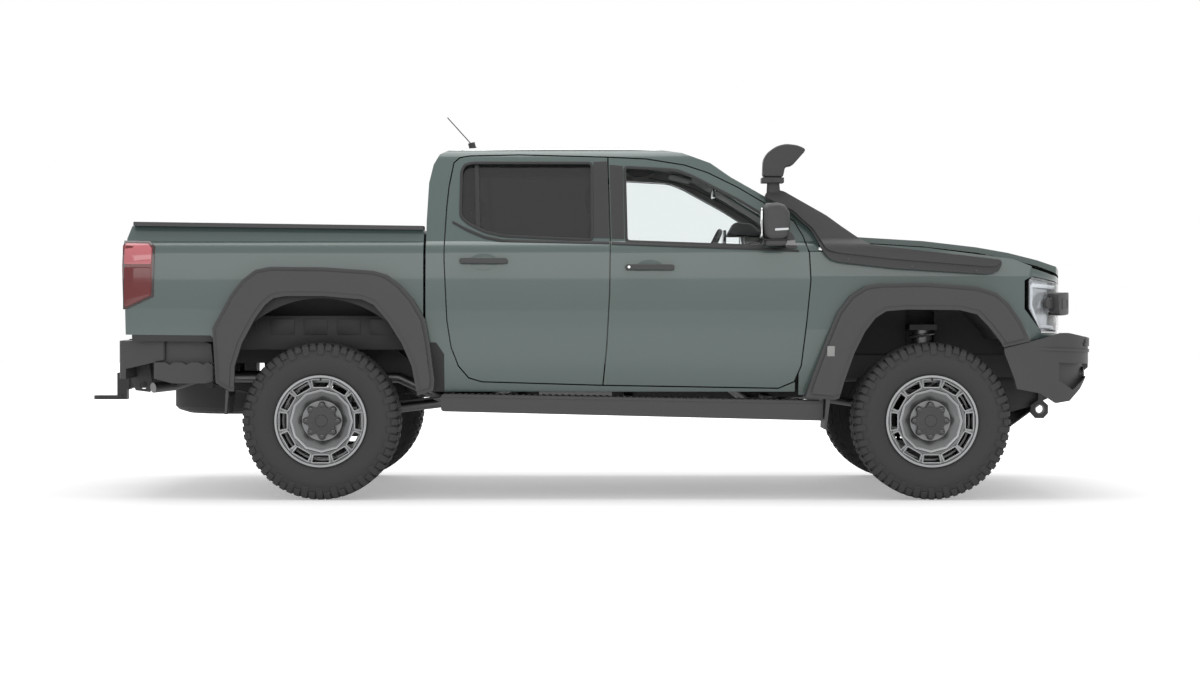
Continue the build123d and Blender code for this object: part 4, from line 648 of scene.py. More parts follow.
def round_bar(start, end, radius, sides=24, radius_end=None):
    """A round bar or cone from start to end."""
    start, end = Vector(start), Vector(end)
    way = end - start
    clear_selection()
    bpy.ops.mesh.primitive_cone_add(
        vertices=sides, radius1=radius, radius2=radius if radius_end is None else radius_end,
        depth=way.length, location=(start + end) / 2, rotation=way.to_track_quat("Z", "Y").to_euler(),)
    obj = bpy.context.object
    apply_place(obj)
    return obj


def bent_bar(points, radius, sides=12):
    """A round bar along points, as one smooth tube."""
    curve = bpy.data.curves.new("route", "CURVE")
    curve.dimensions = "3D"
    curve.bevel_depth = radius
    curve.bevel_resolution = sides // 4
    curve.use_fill_caps = True
    spline = curve.splines.new("NURBS")
    spline.points.add(len(points) - 1)
    for spot, point in zip(spline.points, points):
        spot.co = (*point, 1.0)
    spline.order_u = 3
    spline.use_endpoint_u = True
    obj = bpy.data.objects.new("route", curve)
    bpy.context.scene.collection.objects.link(obj)
    only(obj)
    bpy.ops.object.convert(target="MESH")
    return bpy.context.object


def turned(section, centre, axis="Y", steps=96):
    """A closed section of (radius, along) points spun about an axis through centre."""
    centre = Vector(centre)
    ways = {"Y": (lambda r, a: (r, a, 0), (0, 1, 0)), "Z": (lambda r, a: (r, 0, a), (0, 0, 1)),
        "X": (lambda r, a: (a, r, 0), (1, 0, 0))}
    place, turn = ways[axis]
    obj = loop_of(section, lambda r, a: Vector(place(r, a)) + centre, fill=False)
    bpy.ops.object.mode_set(mode="EDIT")
    bpy.ops.mesh.select_all(action="SELECT")
    bpy.ops.mesh.spin(steps=steps, angle=math.tau, center=centre, axis=turn)
    bpy.ops.mesh.select_all(action="SELECT")
    bpy.ops.mesh.remove_doubles(threshold=0.00005)
    bpy.ops.mesh.normals_make_consistent(inside=False)
    bpy.ops.object.mode_set(mode="OBJECT")
    return obj


def copy_of(obj, matrix):
    """A copy with its own mesh, moved by a matrix."""
    made = obj.copy()
    made.data = obj.data.copy()
    made.parent = None
    made.matrix_world = Matrix.Identity(4)
    bpy.context.scene.collection.objects.link(made)
    made.data.transform(matrix)
    if matrix.determinant() < 0:
        made.data.flip_normals()
    return made


def joined(objects):
    """The objects as one piece."""
    clear_selection()
    for obj in objects:
        obj.select_set(True)
    bpy.context.view_layer.objects.active = objects[0]
    if len(objects) > 1:
        bpy.ops.object.join()
    return bpy.context.object


def row_of(obj, count, step):
    """Copies in a straight row, joined into one piece."""
    return joined([obj] + [copy_of(obj, Matrix.Translation(Vector(step) * index))
        for index in range(1, count)])


def round_copies(obj, centre, count, axis="Y", start=0.0):
    """Copies turned round an axis through centre, joined into one piece."""
    shift = Matrix.Translation(centre)
    made = [obj]
    if start:
        obj.data.transform(shift @ Matrix.Rotation(start, 4, axis) @ shift.inverted())
    for index in range(1, count):
        turn = Matrix.Rotation(math.tau * index / count, 4, axis)
        made.append(copy_of(obj, shift @ turn @ shift.inverted()))
    return joined(made)


MIRROR = Matrix.Scale(-1, 4, (0, 1, 0))


def other_side(obj, name, body):
    """The mirrored copy for the vehicle's left side."""
    made = copy_of(obj, MIRROR)
    made.name = name
    made.data.name = name
    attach(made, body)
    if "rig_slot" in obj:
        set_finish(made, obj["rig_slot"])
    return made


def pair(obj, name, body, material, slot=None, bevel=0.0, segments=2, smooth=35.0, replaces=None):
    """Settles a right-hand piece and its mirrored twin. body and replaces may hold {} for the side."""
    right = settle(obj, f"{name}_right", body.format("right"), material, slot, bevel, segments, smooth)
    left = other_side(right, f"{name}_left", body.format("left"))
    if replaces:
        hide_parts(replaces.format("right"))
        if "{}" in replaces:
            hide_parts(replaces.format("left"))
    return right, left


def grown(points, by):
    """The outline moved outwards by the same distance all round."""
    area = sum(a[0] * b[1] - b[0] * a[1] for a, b in zip(points, points[1:] + points[:1]))
    turn = 1 if area > 0 else -1
    made = []
    for before, spot, after in zip(points[-1:] + points[:-1], points, points[1:] + points[:1]):
        spot = Vector(spot)
        into, out = (spot - Vector(before)).normalized(), (Vector(after) - spot).normalized()
        first, second = Vector((into.y, -into.x)) * turn, Vector((out.y, -out.x)) * turn
        both = first + second
        made.append(tuple(spot + both * (by / max(both.dot(first), 0.25))))
    return made


def rect(low_a, high_a, low_b, high_b):
    return [(low_a, low_b), (high_a, low_b), (high_a, high_b), (low_a, high_b)]


def rounded(points, radius, steps=4):
    """The outline with its corners rounded by short arcs."""
    made = []
    for before, spot, after in zip(points[-1:] + points[:-1], points, points[1:] + points[:1]):
        before, spot, after = Vector(before), Vector(spot), Vector(after)
        reach = min(radius, (before - spot).length * 0.45, (after - spot).length * 0.45)
        start = spot + (before - spot).normalized() * reach
        end = spot + (after - spot).normalized() * reach
        for index in range(steps + 1):
            share = index / steps
            made.append(tuple(start * (1 - share) ** 2 + spot * (2 * share * (1 - share)) + end * share ** 2))
    return made


def cut_rows(obj, low, high, step, normal):
    """Extra rows of edges, so that a flat piece can follow a curved surface."""
    only(obj)
    bpy.ops.object.mode_set(mode="EDIT")
    place = low + step
    while place < high - step / 4:
        bpy.ops.mesh.select_all(action="SELECT")
        bpy.ops.mesh.bisect(plane_co=[place * n for n in normal], plane_no=normal)
        place += step
    bpy.ops.object.mode_set(mode="OBJECT")


def with_hole(obj, width):
    """Leaves only a rim of the given width of a flat outline."""
    only(obj)
    bpy.ops.object.mode_set(mode="EDIT")
    bpy.ops.mesh.select_all(action="SELECT")
    bpy.ops.mesh.inset(thickness=width, depth=0)
    bpy.ops.mesh.delete(type="FACE")
    bpy.ops.object.mode_set(mode="OBJECT")


def skin_piece(points, lift, thickness, rim=0.0, rows=0.035):
    """A side-view outline laid on the body's right side, standing lift proud of it."""
    obj = loop_of(points, lambda x, z: (x, lift, z))
    if rim:
        with_hole(obj, rim)
    push(obj, (0, thickness, 0))
    cut_rows(obj, min(p[1] for p in points), max(p[1] for p in points), rows, (0, 0, 1))
    for vertex in obj.data.vertices:
        vertex.co.y = -(side_y(vertex.co.z) + vertex.co.y)
    face_out(obj)
    return obj


def wrap_piece(curve, points, lift, thickness, rim=0.0, columns=0.03):
    """An outline of (distance along, height) laid on the nose or bumper, standing lift proud of it."""
    obj = loop_of(points, lambda along, z: (along, lift, z))
    if rim:
        with_hole(obj, rim)
    push(obj, (0, thickness, 0))
    cut_rows(obj, min(p[0] for p in points), max(p[0] for p in points), columns, (1, 0, 0))
    for vertex in obj.data.vertices:
        along, out = vertex.co.x, vertex.co.y
        vertex.co.x, vertex.co.y = curve.place(along, out)
    face_out(obj)
    return obj


# The studio

# Where the photograph was taken from: a station along the vehicle, and degrees looked down
CAMERA_STATION = 1494.5
CAMERA_TILT = 0.76


def build_stage(sizes):
    scene = bpy.context.scene
    clear_selection()
    bpy.ops.mesh.primitive_plane_add(size=60.0, location=(0, 0, -0.0005))
    floor = bpy.context.object
    floor.name = "studio_floor"
    floor.data.materials.append(floor_material())
    scene.world = studio_world()
    for name, place, size, power, aim in (
        ("roof_softbox", (0, 0, 6.5), (9.0, 5.0), 330, (0, 0, 0)),
        ("side_softbox", (0, -9.0, 3.2), (10.0, 2.2), 120, (0, 0, 0.8)),
        ("back_softbox", (0, 9.0, 4.5), (10.0, 2.5), 150, (0, 0, 0.8)),
    ):
        light = bpy.data.lights.new(name, "AREA")
        light.shape = "RECTANGLE"
        light.size, light.size_y = size
        light.energy = power
        lamp = bpy.data.objects.new(name, light)
        lamp.location = place
        lamp.rotation_euler = (Vector(aim) - Vector(place)).to_track_quat("-Z", "Y").to_euler()
        scene.collection.objects.link(lamp)
    scene.view_settings.view_transform = "Standard"
    eye = bpy.data.cameras.new("photo_camera")
    eye.lens = sizes.lens
    eye.sensor_width = 36.0
    camera = bpy.data.objects.new("photo_camera", eye)
    camera.location = (bed(CAMERA_STATION), -sizes.camera_reach, sizes.camera_height)
    camera.rotation_euler = (math.radians(90 - CAMERA_TILT), 0, 0)
    scene.collection.objects.link(camera)
    scene.camera = camera


def seen_rays(tree):
    """One for camera, mirror and glass rays, nought for the light on the object."""
    paths = tree.nodes.new("ShaderNodeLightPath")
    first = combined(tree, "MAXIMUM", paths.outputs["Is Camera Ray"], paths.outputs["Is Transmission Ray"])
    return combined(tree, "MAXIMUM", first, paths.outputs["Is Glossy Ray"])


def floor_material():
    """A pale floor that keeps the shadow near the vehicle and turns plain white further off."""
    material = bpy.data.materials.new("studio_floor")
    material.use_nodes = True
    tree = material.node_tree
    link = tree.links.new
    shader = tree.nodes["Principled BSDF"]
    shader.inputs["Base Color"].default_value = (0.80, 0.80, 0.80, 1)
    shader.inputs["Roughness"].default_value = 0.9
    shader.inputs["Specular IOR Level"].default_value = 0.1
    place = tree.nodes.new("ShaderNodeTexCoord")
    squash = tree.nodes.new("ShaderNodeMapping")
    squash.inputs["Scale"].default_value = (1 / 4.2, 1 / 3.0, 1.0)
    away = node(tree, "ShaderNodeVectorMath", operation="LENGTH")
    fade = node(tree, "ShaderNodeMapRange", interpolation_type="SMOOTHSTEP", From_Min=0.75, From_Max=1.35,
        To_Min=0.34, To_Max=1.0)
    glow = tree.nodes.new("ShaderNodeEmission")
    link(place.outputs["Object"], squash.inputs["Vector"])
    link(squash.outputs["Vector"], away.inputs[0])
    link(away.outputs["Value"], fade.inputs["Value"])
    link(combined(tree, "MULTIPLY", seen_rays(tree), fade.outputs["Result"]), glow.inputs["Strength"])
    total = tree.nodes.new("ShaderNodeAddShader")
    link(shader.outputs[0], total.inputs[0])
    link(glow.outputs[0], total.inputs[1])
    link(total.outputs[0], tree.nodes["Material Output"].inputs["Surface"])
    return material


def studio_world():
    world = bpy.data.worlds.new("Studio")
    world.use_nodes = True
    tree = world.node_tree
    back = tree.nodes["Background"]
    back.inputs["Color"].default_value = (1, 1, 1, 1)
    strength = node(tree, "ShaderNodeMapRange", To_Min=0.55, To_Max=1.0)
    tree.links.new(seen_rays(tree), strength.inputs["Value"])
    tree.links.new(strength.outputs[0], back.inputs["Strength"])
    return world


def paint_nodes():
    """Gives each CAD piece the material of its slot in the record."""
    for name, obj in NODES.items():
        obj.data.materials.clear()
        obj.data.materials.append(MATERIALS[SLOT_OF[name]])


# Wheels


def tread_block(centre, points, y_low, y_high, radius, height, top=0.82):
    """One tread block: an outline in plan (along, across) lifted to the tread radius at the tyre's top."""
    x0, z0 = centre.x, centre.z
    obj = loop_of(points, lambda a, b: (x0 + a, b, z0 + radius - height * 1.6))
    push(obj, (0, 0, height * 1.6))
    middle_y = (y_low + y_high) / 2
    for vertex in obj.data.vertices:
        if vertex.co.z > z0 + radius - 0.0001:
            vertex.co.x = x0 + (vertex.co.x - x0) * top
            vertex.co.y = middle_y + (vertex.co.y - middle_y) * 0.94
    return obj


def build_tyre(sizes):
    """Carcass, shoulder lugs that step onto the sidewall, and three rows of tread blocks."""
    centre = Vector((XR, -TRACK, AXLE_Z))
    bead, radius, half = 0.229, TYRE_RADIUS - 0.001, TYRE_HALF - 0.0005
    height = sizes.lug_height
    floor = radius - height
    section = [
        (bead + 0.001, -0.098), (bead + 0.001, 0.098), (bead + 0.016, 0.104), (bead + 0.030, 0.116),
        (bead + 0.034, 0.1215), (bead + 0.042, 0.1245), (bead + 0.044, 0.1275), (bead + 0.048, 0.1278),
        (bead + 0.051, 0.1260), (bead + 0.066, 0.1305), (bead + 0.088, 0.1335), (0.330, 0.1335),
        (0.332, 0.1365), (0.336, 0.1365), (0.339, 0.1335), (0.358, 0.1325), (0.372, 0.131),
        (0.392, 0.124), (floor - 0.004, 0.108), (floor, 0.092), (floor, 0.0), (floor, -0.092),
        (floor - 0.004, -0.108), (0.392, -0.124), (0.372, -0.131), (0.350, -0.1335), (0.345, -0.1355),
        (bead + 0.095, -0.1365), (bead + 0.060, -0.131), (bead + 0.030, -0.116), (bead + 0.016, -0.104),
    ]
    carcass = turned(section, centre, steps=120)
    count = sizes.lug_count
    pitch = math.tau * radius / count
    parts = [carcass]
    for sign in (1, -1):
        # Shoulder lugs, long and short in turn, run over the shoulder and down the sidewall
        for turn, drop in ((0, 0.060), (1, 0.036)):
            lug = slab(
                [(floor - 0.010, 0.070), (radius, 0.070), (radius, 0.104), (radius - 0.006, 0.119),
                 (radius - 0.020, 0.131), (radius - drop, half), (radius - drop - 0.004, 0.1345),
                 (radius - drop - 0.002, 0.126), (floor - 0.020, 0.108)],
                -pitch * 0.36, pitch * 0.36, axis="X")
            for vertex in lug.data.vertices:
                along, reach, out = vertex.co.x, vertex.co.y, vertex.co.z
                lean = 0.004 * (out - 0.09) / 0.04
                vertex.co = (centre.x + along * (0.80 if reach > floor - 0.002 else 1.0) + lean,
                    centre.y + sign * out, centre.z + reach)
            face_out(lug)
            parts.append(round_copies(lug, centre, count // 2, start=math.tau / count * turn))
        # Middle rows: stepped blocks each side of the centre line
        for turn, low, high in ((0.25, 0.030, 0.062), (0.75, 0.024, 0.056)):
            along = pitch * 0.74
            block = tread_block(
                centre, [(-along, centre.y + sign * low), (-along * 0.2, centre.y + sign * low),
                (0, centre.y + sign * (low + 0.006)), (along * 0.9, centre.y + sign * (low + 0.006)),
                (along, centre.y + sign * high), (0, centre.y + sign * high),
                (-along * 0.2, centre.y + sign * (high - 0.006)), (-along * 0.9,
                centre.y + sign * (high - 0.006))], centre.y + sign * low, centre.y + sign * high, radius,
                height)
            face_out(block)
            parts.append(round_copies(block, centre, count // 2, start=math.tau / count * turn * 2))
    along = pitch * 0.62
    block = tread_block(
        centre, [(-along, centre.y - 0.016), (0, centre.y - 0.019), (along, centre.y - 0.012),
        (along * 0.8, centre.y + 0.012), (0, centre.y + 0.019), (-along * 0.8, centre.y + 0.014)],
        centre.y - 0.018, centre.y + 0.018, radius, height)
    face_out(block)
    parts.append(round_copies(block, centre, count // 2))
    return joined(parts)


def wheel_places():
    for side, sign in (("right", -1), ("left", 1)):
        for end, x in (("rear", XR), ("front", XF)):
            yield end, side, sign, x


def spread_to_wheels(obj, name, material, slot=None, replaces=None, bevel=0.0):
    """The right rear wheel's piece goes to all four wheels."""
    half_turn = Matrix.Translation((XR, 0, 0)) @ Matrix.Rotation(math.pi, 4,
        "Z") @ Matrix.Translation((-XR, 0, 0))
    for end, side, sign, x in wheel_places():
        move = Matrix.Translation((x - XR, 0, 0))
        made = copy_of(obj, move if sign < 0 else move @ half_turn)
        settle(made, f"{name}_{end}_{side}", f"wheel_{end}_{side}", material, slot, bevel)
        if replaces:
            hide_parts(f"{replaces}_{end}_{side}")
    bpy.data.objects.remove(obj)


# The rim's face between its windows: height outside the wheel's middle at a radius
FACE_START, FACE_HEIGHT, FACE_SLOPE = 0.184, 0.092, 0.375
WINDOW_COUNT = 12


def window_frame():
    """A bright worked edge round one of the rim's windows."""
    outline = grown([(-0.044, 0.181), (0.044, 0.181), (0.049, 0.221), (-0.049, 0.221)], 0.0035)
    obj = loop_of(rounded(outline, 0.008, 2), lambda along, r: (along, 0, r))
    with_hole(obj, 0.0055)
    push(obj, (0, 0.004, 0))
    for vertex in obj.data.vertices:
        along, out, r = vertex.co
        rise = FACE_HEIGHT + max(r - FACE_START, 0) * FACE_SLOPE
        vertex.co = (XR + along, -TRACK - rise - out + 0.001, AXLE_Z + r)
    face_out(obj)
    return obj


def build_wheels(sizes):
    centre = Vector((XR, -TRACK, AXLE_Z))
    spread_to_wheels(build_tyre(sizes), "tread_tyre", "tyre", "tyre", replaces="tyre")
    frames = round_copies(window_frame(), centre, WINDOW_COUNT)
    spread_to_wheels(frames, "window_frames", "bright_alloy", bevel=0.0008)
    out = -TRACK - 0.0655
    step_ring = turned([(0.157, out), (0.157, out - 0.003), (0.168, out - 0.0085), (0.171, out - 0.0085),
        (0.171, out - 0.005)], (XR, 0, AXLE_Z), steps=WINDOW_COUNT)
    spread_to_wheels(step_ring, "step_ring", "bright_alloy", bevel=0.0006)
    lip = -TRACK - 0.117
    rim_edge = turned([(0.234, lip + 0.0005), (0.2345, lip - 0.002), (0.2455, lip - 0.002),
        (0.2465, lip + 0.0005)], (XR, 0, AXLE_Z), steps=96)
    spread_to_wheels(rim_edge, "rim_edge", "bright_alloy")
    face = -TRACK - 0.066
    nut = round_bar((XR + sizes.nut_circle, face + 0.034, AXLE_Z), (XR + sizes.nut_circle, face - 0.004,
        AXLE_Z), 0.0165, sides=6)
    add_modifier(nut, "BEVEL", width=0.005, segments=2)
    seat = turned([(0.0005, face + 0.036), (0.019, face + 0.036), (0.019, face + 0.020),
        (0.017, face + 0.016), (0.0005, face + 0.016)], (XR + sizes.nut_circle, 0, AXLE_Z), steps=24)
    nuts = round_copies(joined([nut, seat]), centre, sizes.nut_count)
    spread_to_wheels(nuts, "wheel_nuts", "gloss_black")
    lobes = [(0.089 + 0.014 * math.cos(sizes.nut_count * angle), angle)
        for angle in (math.tau * i / 96 for i in range(96))]
    cover = slab([(XR + r * math.cos(angle), AXLE_Z + r * math.sin(angle)) for r, angle in lobes],
        face - 0.001, face + 0.012)
    spread_to_wheels(cover, "hub_cover", "trim_plastic", bevel=0.0025)
    hub = turned([(0.0005, face - 0.008), (0.030, face - 0.007), (0.034, face - 0.003), (0.040, face - 0.003),
        (0.0565, face + 0.001), (0.0605, face + 0.006), (0.062, face + 0.020), (0.0005, face + 0.020)],
        (XR, 0, AXLE_Z), steps=64)
    spread_to_wheels(hub, "hub_cap", "trim_plastic")
    valve = round_bar((XR, -TRACK - 0.098, AXLE_Z + 0.226), (XR, -TRACK - 0.128, AXLE_Z + 0.219), 0.0045,
        sides=10)
    spread_to_wheels(valve, "valve_stem", "seal_rubber", bevel=0.001)


# Doors and glass

# How far thin trim stands off the body, so that the two faces never fight
TRIM_LIFT = 0.0003


def build_doors(sizes):
    """Handles, seals, pillar covers, belt strips and the cards inside."""
    for end, x_mid, width, z_low, z_high in (
        ("front", 1761.0, 263.0, 1.222, 1.270), ("rear", 871.7, 258.0, 1.258, 1.302),
    ):
        door = end + "_door_{}_body"
        mid = (z_low + z_high) / 2
        x_low, x_high = bed(x_mid - width / 2), bed(x_mid + width / 2)
        bowl = loop_of([(bed(x_mid) + 0.075 * math.cos(a), mid - 0.006 + 0.045 * math.sin(a))
            for a in (math.tau * i / 40 for i in range(40))], lambda x, z: (x, 0.0004, z))
        only(bowl)
        bpy.ops.object.mode_set(mode="EDIT")
        bpy.ops.mesh.select_all(action="SELECT")
        bpy.ops.mesh.extrude_region_move(TRANSFORM_OT_translate={"value": (0, 0.0012, 0)})
        bpy.ops.mesh.inset(thickness=0.010, depth=0)
        bpy.ops.transform.translate(value=(0, -0.0012, 0))
        bpy.ops.object.mode_set(mode="OBJECT")
        for vertex in bowl.data.vertices:
            vertex.co.y = -(side_y(vertex.co.z) + vertex.co.y)
        face_out(bowl)
        pair(bowl, f"{end}_handle_bowl", door, "body_paint", smooth=60.0)
        grip = slab(
            rounded([(x_low, mid - 0.015), (x_high, mid - 0.016), (x_high, mid + 0.014),
            (x_low, mid + 0.015)], 0.02), -side_y(mid) - 0.036, -side_y(mid) - 0.014)
        for vertex in grip.data.vertices:
            share = (vertex.co.x - bed(x_mid)) / (width / 2000)
            vertex.co.y += 0.008 * share ** 2
        posts = [slab(rounded(rect(x, x + 0.042, mid - 0.013, mid + 0.013), 0.01), -side_y(mid) - 0.022,
            -side_y(mid) + 0.004) for x in (x_low + 0.004, x_high - 0.046)]
        pair(joined([grip] + posts), f"{end}_door_handle", door, "trim_plastic", "trim_plastic", bevel=0.0045,
            segments=3)
        if end == "front":
            lock = round_bar((x_low + 0.020, -side_y(mid) - 0.034, mid),
                (x_low + 0.020, -side_y(mid) - 0.0385, mid), 0.0075)
            pair(lock, "door_lock", door, "chrome", bevel=0.001)
    for end, line in (("front", FRONT_WINDOW), ("rear", REAR_WINDOW)):
        seal = skin_piece(rounded(grown(line, 0.011), 0.028), TRIM_LIFT, 0.0035, rim=sizes.seal_width)
        pair(seal, f"{end}_window_seal", end + "_door_{}_body", "seal_rubber", bevel=0.0012)
    front_post = at(bed, [(1557, 1400), (1546, 1806), (1618, 1800), (1624, 1398)])
    pair(skin_piece(front_post, TRIM_LIFT, 0.0022), "front_post_cover", "front_door_{}_body", "gloss_black",
        bevel=0.0006)
    rear_post = at(bed, [(1461, 1404), (1458, 1822), (1535, 1826), (1545, 1402)])
    pair(skin_piece(rear_post, TRIM_LIFT, 0.0022), "rear_post_cover", "rear_door_{}_body", "gloss_black",
        bevel=0.0006)
    front_belt = at(bed, [(1556, 1384), (1640, 1380), (2372, 1352), (2520, 1343), (2560, 1336), (2560, 1326),
        (2372, 1336), (1556, 1368)])
    pair(skin_piece(front_belt, TRIM_LIFT, 0.0045, rows=0.012), "front_belt_strip", "front_door_{}_body",
        "seal_rubber", bevel=0.0012)
    rear_belt = at(bed, [(700, 1498), (752, 1470), (790, 1452), (880, 1414), (973, 1396), (1545, 1384),
        (1545, 1370), (970, 1382), (872, 1400), (782, 1438), (700, 1484)])
    pair(skin_piece(rear_belt, TRIM_LIFT, 0.0035, rows=0.012), "rear_belt_strip", "rear_door_{}_body",
        "seal_rubber", bevel=0.001)
    sail = at(bed, [(2384, 1358), (2382, 1512), (2530, 1428), (2556, 1344)])
    pair(skin_piece(rounded(sail, 0.02), TRIM_LIFT, 0.005, rows=0.02), "mirror_sail", "front_door_{}_body",
        "gloss_black", bevel=0.0015)
    divider = at(bed, [(826, 1456), (812, 1812), (834, 1812), (850, 1448)])
    pair(skin_piece(divider, -0.013, 0.008), "window_divider", "rear_door_{}_body", "seal_rubber",
        bevel=0.001)
    for end, line in (
        ("front", [(1600, 770), (1600, 1340), (2440, 1320), (2520, 1180), (2500, 900), (2420, 770)]),
        ("rear", [(790, 800), (760, 1180), (800, 1400), (960, 1370), (1490, 1350), (1490, 800)]),
    ):
        outline = rounded(at(bed, line), 0.05)
        card = skin_piece(outline, -0.127, 0.009)
        x_low, x_high = bed(line[0][0] + 120), bed(line[0][0] + 560)
        rest = slab(rounded([(x_low, 1.03), (x_high, 1.04), (x_high, 1.11), (x_low, 1.09)], 0.02), -0.80,
            -0.845)
        pair(joined([card, rest]), f"{end}_door_card", end + "_door_{}_body", "cabin_plastic",
            "cabin_plastic", bevel=0.004)
        speaker = turned([(0.0005, -0.8155), (0.075, -0.8155), (0.082, -0.8195), (0.088, -0.823),
            (0.088, -0.8275), (0.0005, -0.8275)], (x_high - 0.02, 0, 0.90), steps=40)
        pair(speaker, f"{end}_speaker", end + "_door_{}_body", "cabin_plastic", bevel=0.0008)


def build_mirrors():
    """A round-cornered housing with its foot, the mirror glass and a side lamp."""
    body = "front_door_{}_body"
    house = slab(at(bed, [(2362, 1392), (2352, 1480), (2354, 1560), (2378, 1588), (2440, 1594), (2480, 1580),
        (2508, 1540), (2512, 1470), (2500, 1400), (2470, 1380), (2400, 1378)]), -1.102, -0.957)
    for vertex in house.data.vertices:
        if vertex.co.y < -1.1:
            vertex.co.x = bed(2425) + (vertex.co.x - bed(2425)) * 0.86
            vertex.co.z = 1.485 + (vertex.co.z - 1.485) * 0.90
    soften(house, 0.028, 5)
    foot = slab(at(bed, [(2372, 1356), (2372, 1392), (2490, 1392), (2478, 1358)]), -1.088, -0.962)
    soften(foot, 0.012, 3)
    arm = slab(at(bed, [(2400, 1364), (2400, 1428), (2488, 1428), (2488, 1364)]), -0.975, -0.921)
    soften(arm, 0.008, 3)
    pair(joined([house, foot, arm]), "mirror_housing", body, "trim_plastic", "trim_plastic", smooth=45.0,
        replaces="mirror_{}")
    glass = slab(rounded(rect(-1.078, -0.982, 1.400, 1.560), 0.02), bed(2349), bed(2355), axis="X")
    pair(glass, "mirror_glass", body, "chrome", bevel=0.001)
    seam = slab(at(bed, [(2358, 1388), (2358, 1393), (2500, 1393), (2500, 1388)]), -1.0925, -0.958)
    pair(seam, "mirror_seam", body, "seal_rubber", bevel=0.001)
    lamp = slab(rounded(at(bed, [(2420, 1436), (2420, 1448), (2492, 1452), (2492, 1440)]), 0.004), -1.1035,
        -1.094)
    pair(lamp, "mirror_lamp", body, "lamp_white_and_painted_reflection", bevel=0.0015)


# Front end


DUCT_LINE = at(nose, [
    (2376, 1618), (2441, 1586), (2524, 1543), (2581, 1485), (2622, 1452), (2667, 1369), (2691, 1320),
    (2724, 1287), (2767, 1273), (3057, 1239), (3568, 1207), (3626, 1221), (3643, 1284), (3591, 1290),
    (2941, 1366), (2886, 1396), (2783, 1469), (2711, 1524), (2478, 1661), (2400, 1664)])


def build_snorkel():
    """The duct on the fender, the neck with its clamp and the ram head."""
    base = skin_piece(rounded(DUCT_LINE, 0.03, 3), 0.0006, 0.0420, rows=0.03)
    soften(base, 0.014, 4)
    crown = skin_piece(rounded(at(nose, [
        (2400, 1664), (2386, 1622), (2450, 1592), (2535, 1549), (2592, 1492), (2634, 1456), (2678, 1384),
        (2706, 1338), (2764, 1322), (3060, 1288), (3560, 1248), (3612, 1250), (3636, 1279), (3591, 1290),
        (2941, 1366), (2886, 1396), (2783, 1469), (2711, 1524), (2478, 1661)]), 0.02, 3), 0.0060, 0.0510,
        rows=0.03)
    soften(crown, 0.020, 5)
    duct = joined([base, crown])
    neck = slab(at(nose, [(2393, 1632), (2398, 1735), (2460, 1735), (2468, 1632)]), -0.848, -0.797)
    soften(neck, 0.016, 4)
    head = slab(rounded(at(nose, [
        (2370, 1731), (2373, 1827), (2397, 1866), (2446, 1899), (2495, 1911), (2560, 1903), (2606, 1880),
        (2527, 1791), (2490, 1787), (2484, 1752), (2478, 1731)]), 0.02, 3), -0.8775, -0.7725)
    soften(head, 0.018, 4)
    shell = joined([duct, neck, head])
    settle(shell, "snorkel_shell", "chassis", "snorkel_plastic", "snorkel_plastic", smooth=45.0)
    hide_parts("snorkel")
    clamp = slab(rounded(at(nose, [(2364, 1700), (2364, 1729), (2484, 1729), (2484, 1700)]), 0.004), -0.8805,
        -0.7695)
    soften(clamp, 0.012, 3)
    screw = round_bar((nose(2424), -0.8785, 1.7145), (nose(2424), -0.886, 1.7145), 0.0055, sides=6)
    settle(joined([clamp, screw]), "snorkel_clamp", "chassis", "snorkel_plastic", bevel=0.001)
    mouth = [slab(at(nose, [(2512 + step * 12, 1800 + step * 13.5), (2508 + step * 12, 1804 + step * 13.5),
        (2512 + step * 12, 1808 + step * 13.5), (2522 + step * 12, 1800 + step * 13.5)]), -0.862, -0.788)
        for step in range(7)]
    settle(joined(mouth), "snorkel_grille", "chassis", "gloss_black", bevel=0.001)
    bolts = [round_bar((x, -side_y(z) - 0.0415, z), (x, -side_y(z) - 0.0450, z), 0.006, sides=6) for x,
        z in at(nose, [(2820, 1290), (3160, 1251), (3500, 1229)])]
    settle(joined(bolts), "snorkel_bolts", "chassis", "gloss_black", bevel=0.001)


# How far out the headlamp starts, and the fog lamp's centre line
LAMP_INNER = 0.646
FOG_LAMP = (0, -0.775, 0.668)


def lamp_outline(shrink=0.0):
    """The headlamp seen along the nose's own curve."""
    inner = NOSE.at_half(LAMP_INNER)
    line = [
        (NOSE.at_x(nose(3806)), 1.195), (NOSE.at_x(nose(3930)), 1.170), (inner, 1.148), (inner, 0.895),
        (NOSE.at_x(nose(3862)), 0.899), (NOSE.at_x(nose(3768)), 1.024), (NOSE.at_x(nose(3768)), 1.173),
    ]
    return grown(line, -shrink) if shrink else line


def within_side(obj, depth):
    """Keeps a wrapped piece inside the body's side by the given depth."""
    for vertex in obj.data.vertices:
        vertex.co.y = max(vertex.co.y, -(side_y(vertex.co.z) - depth))
    return obj


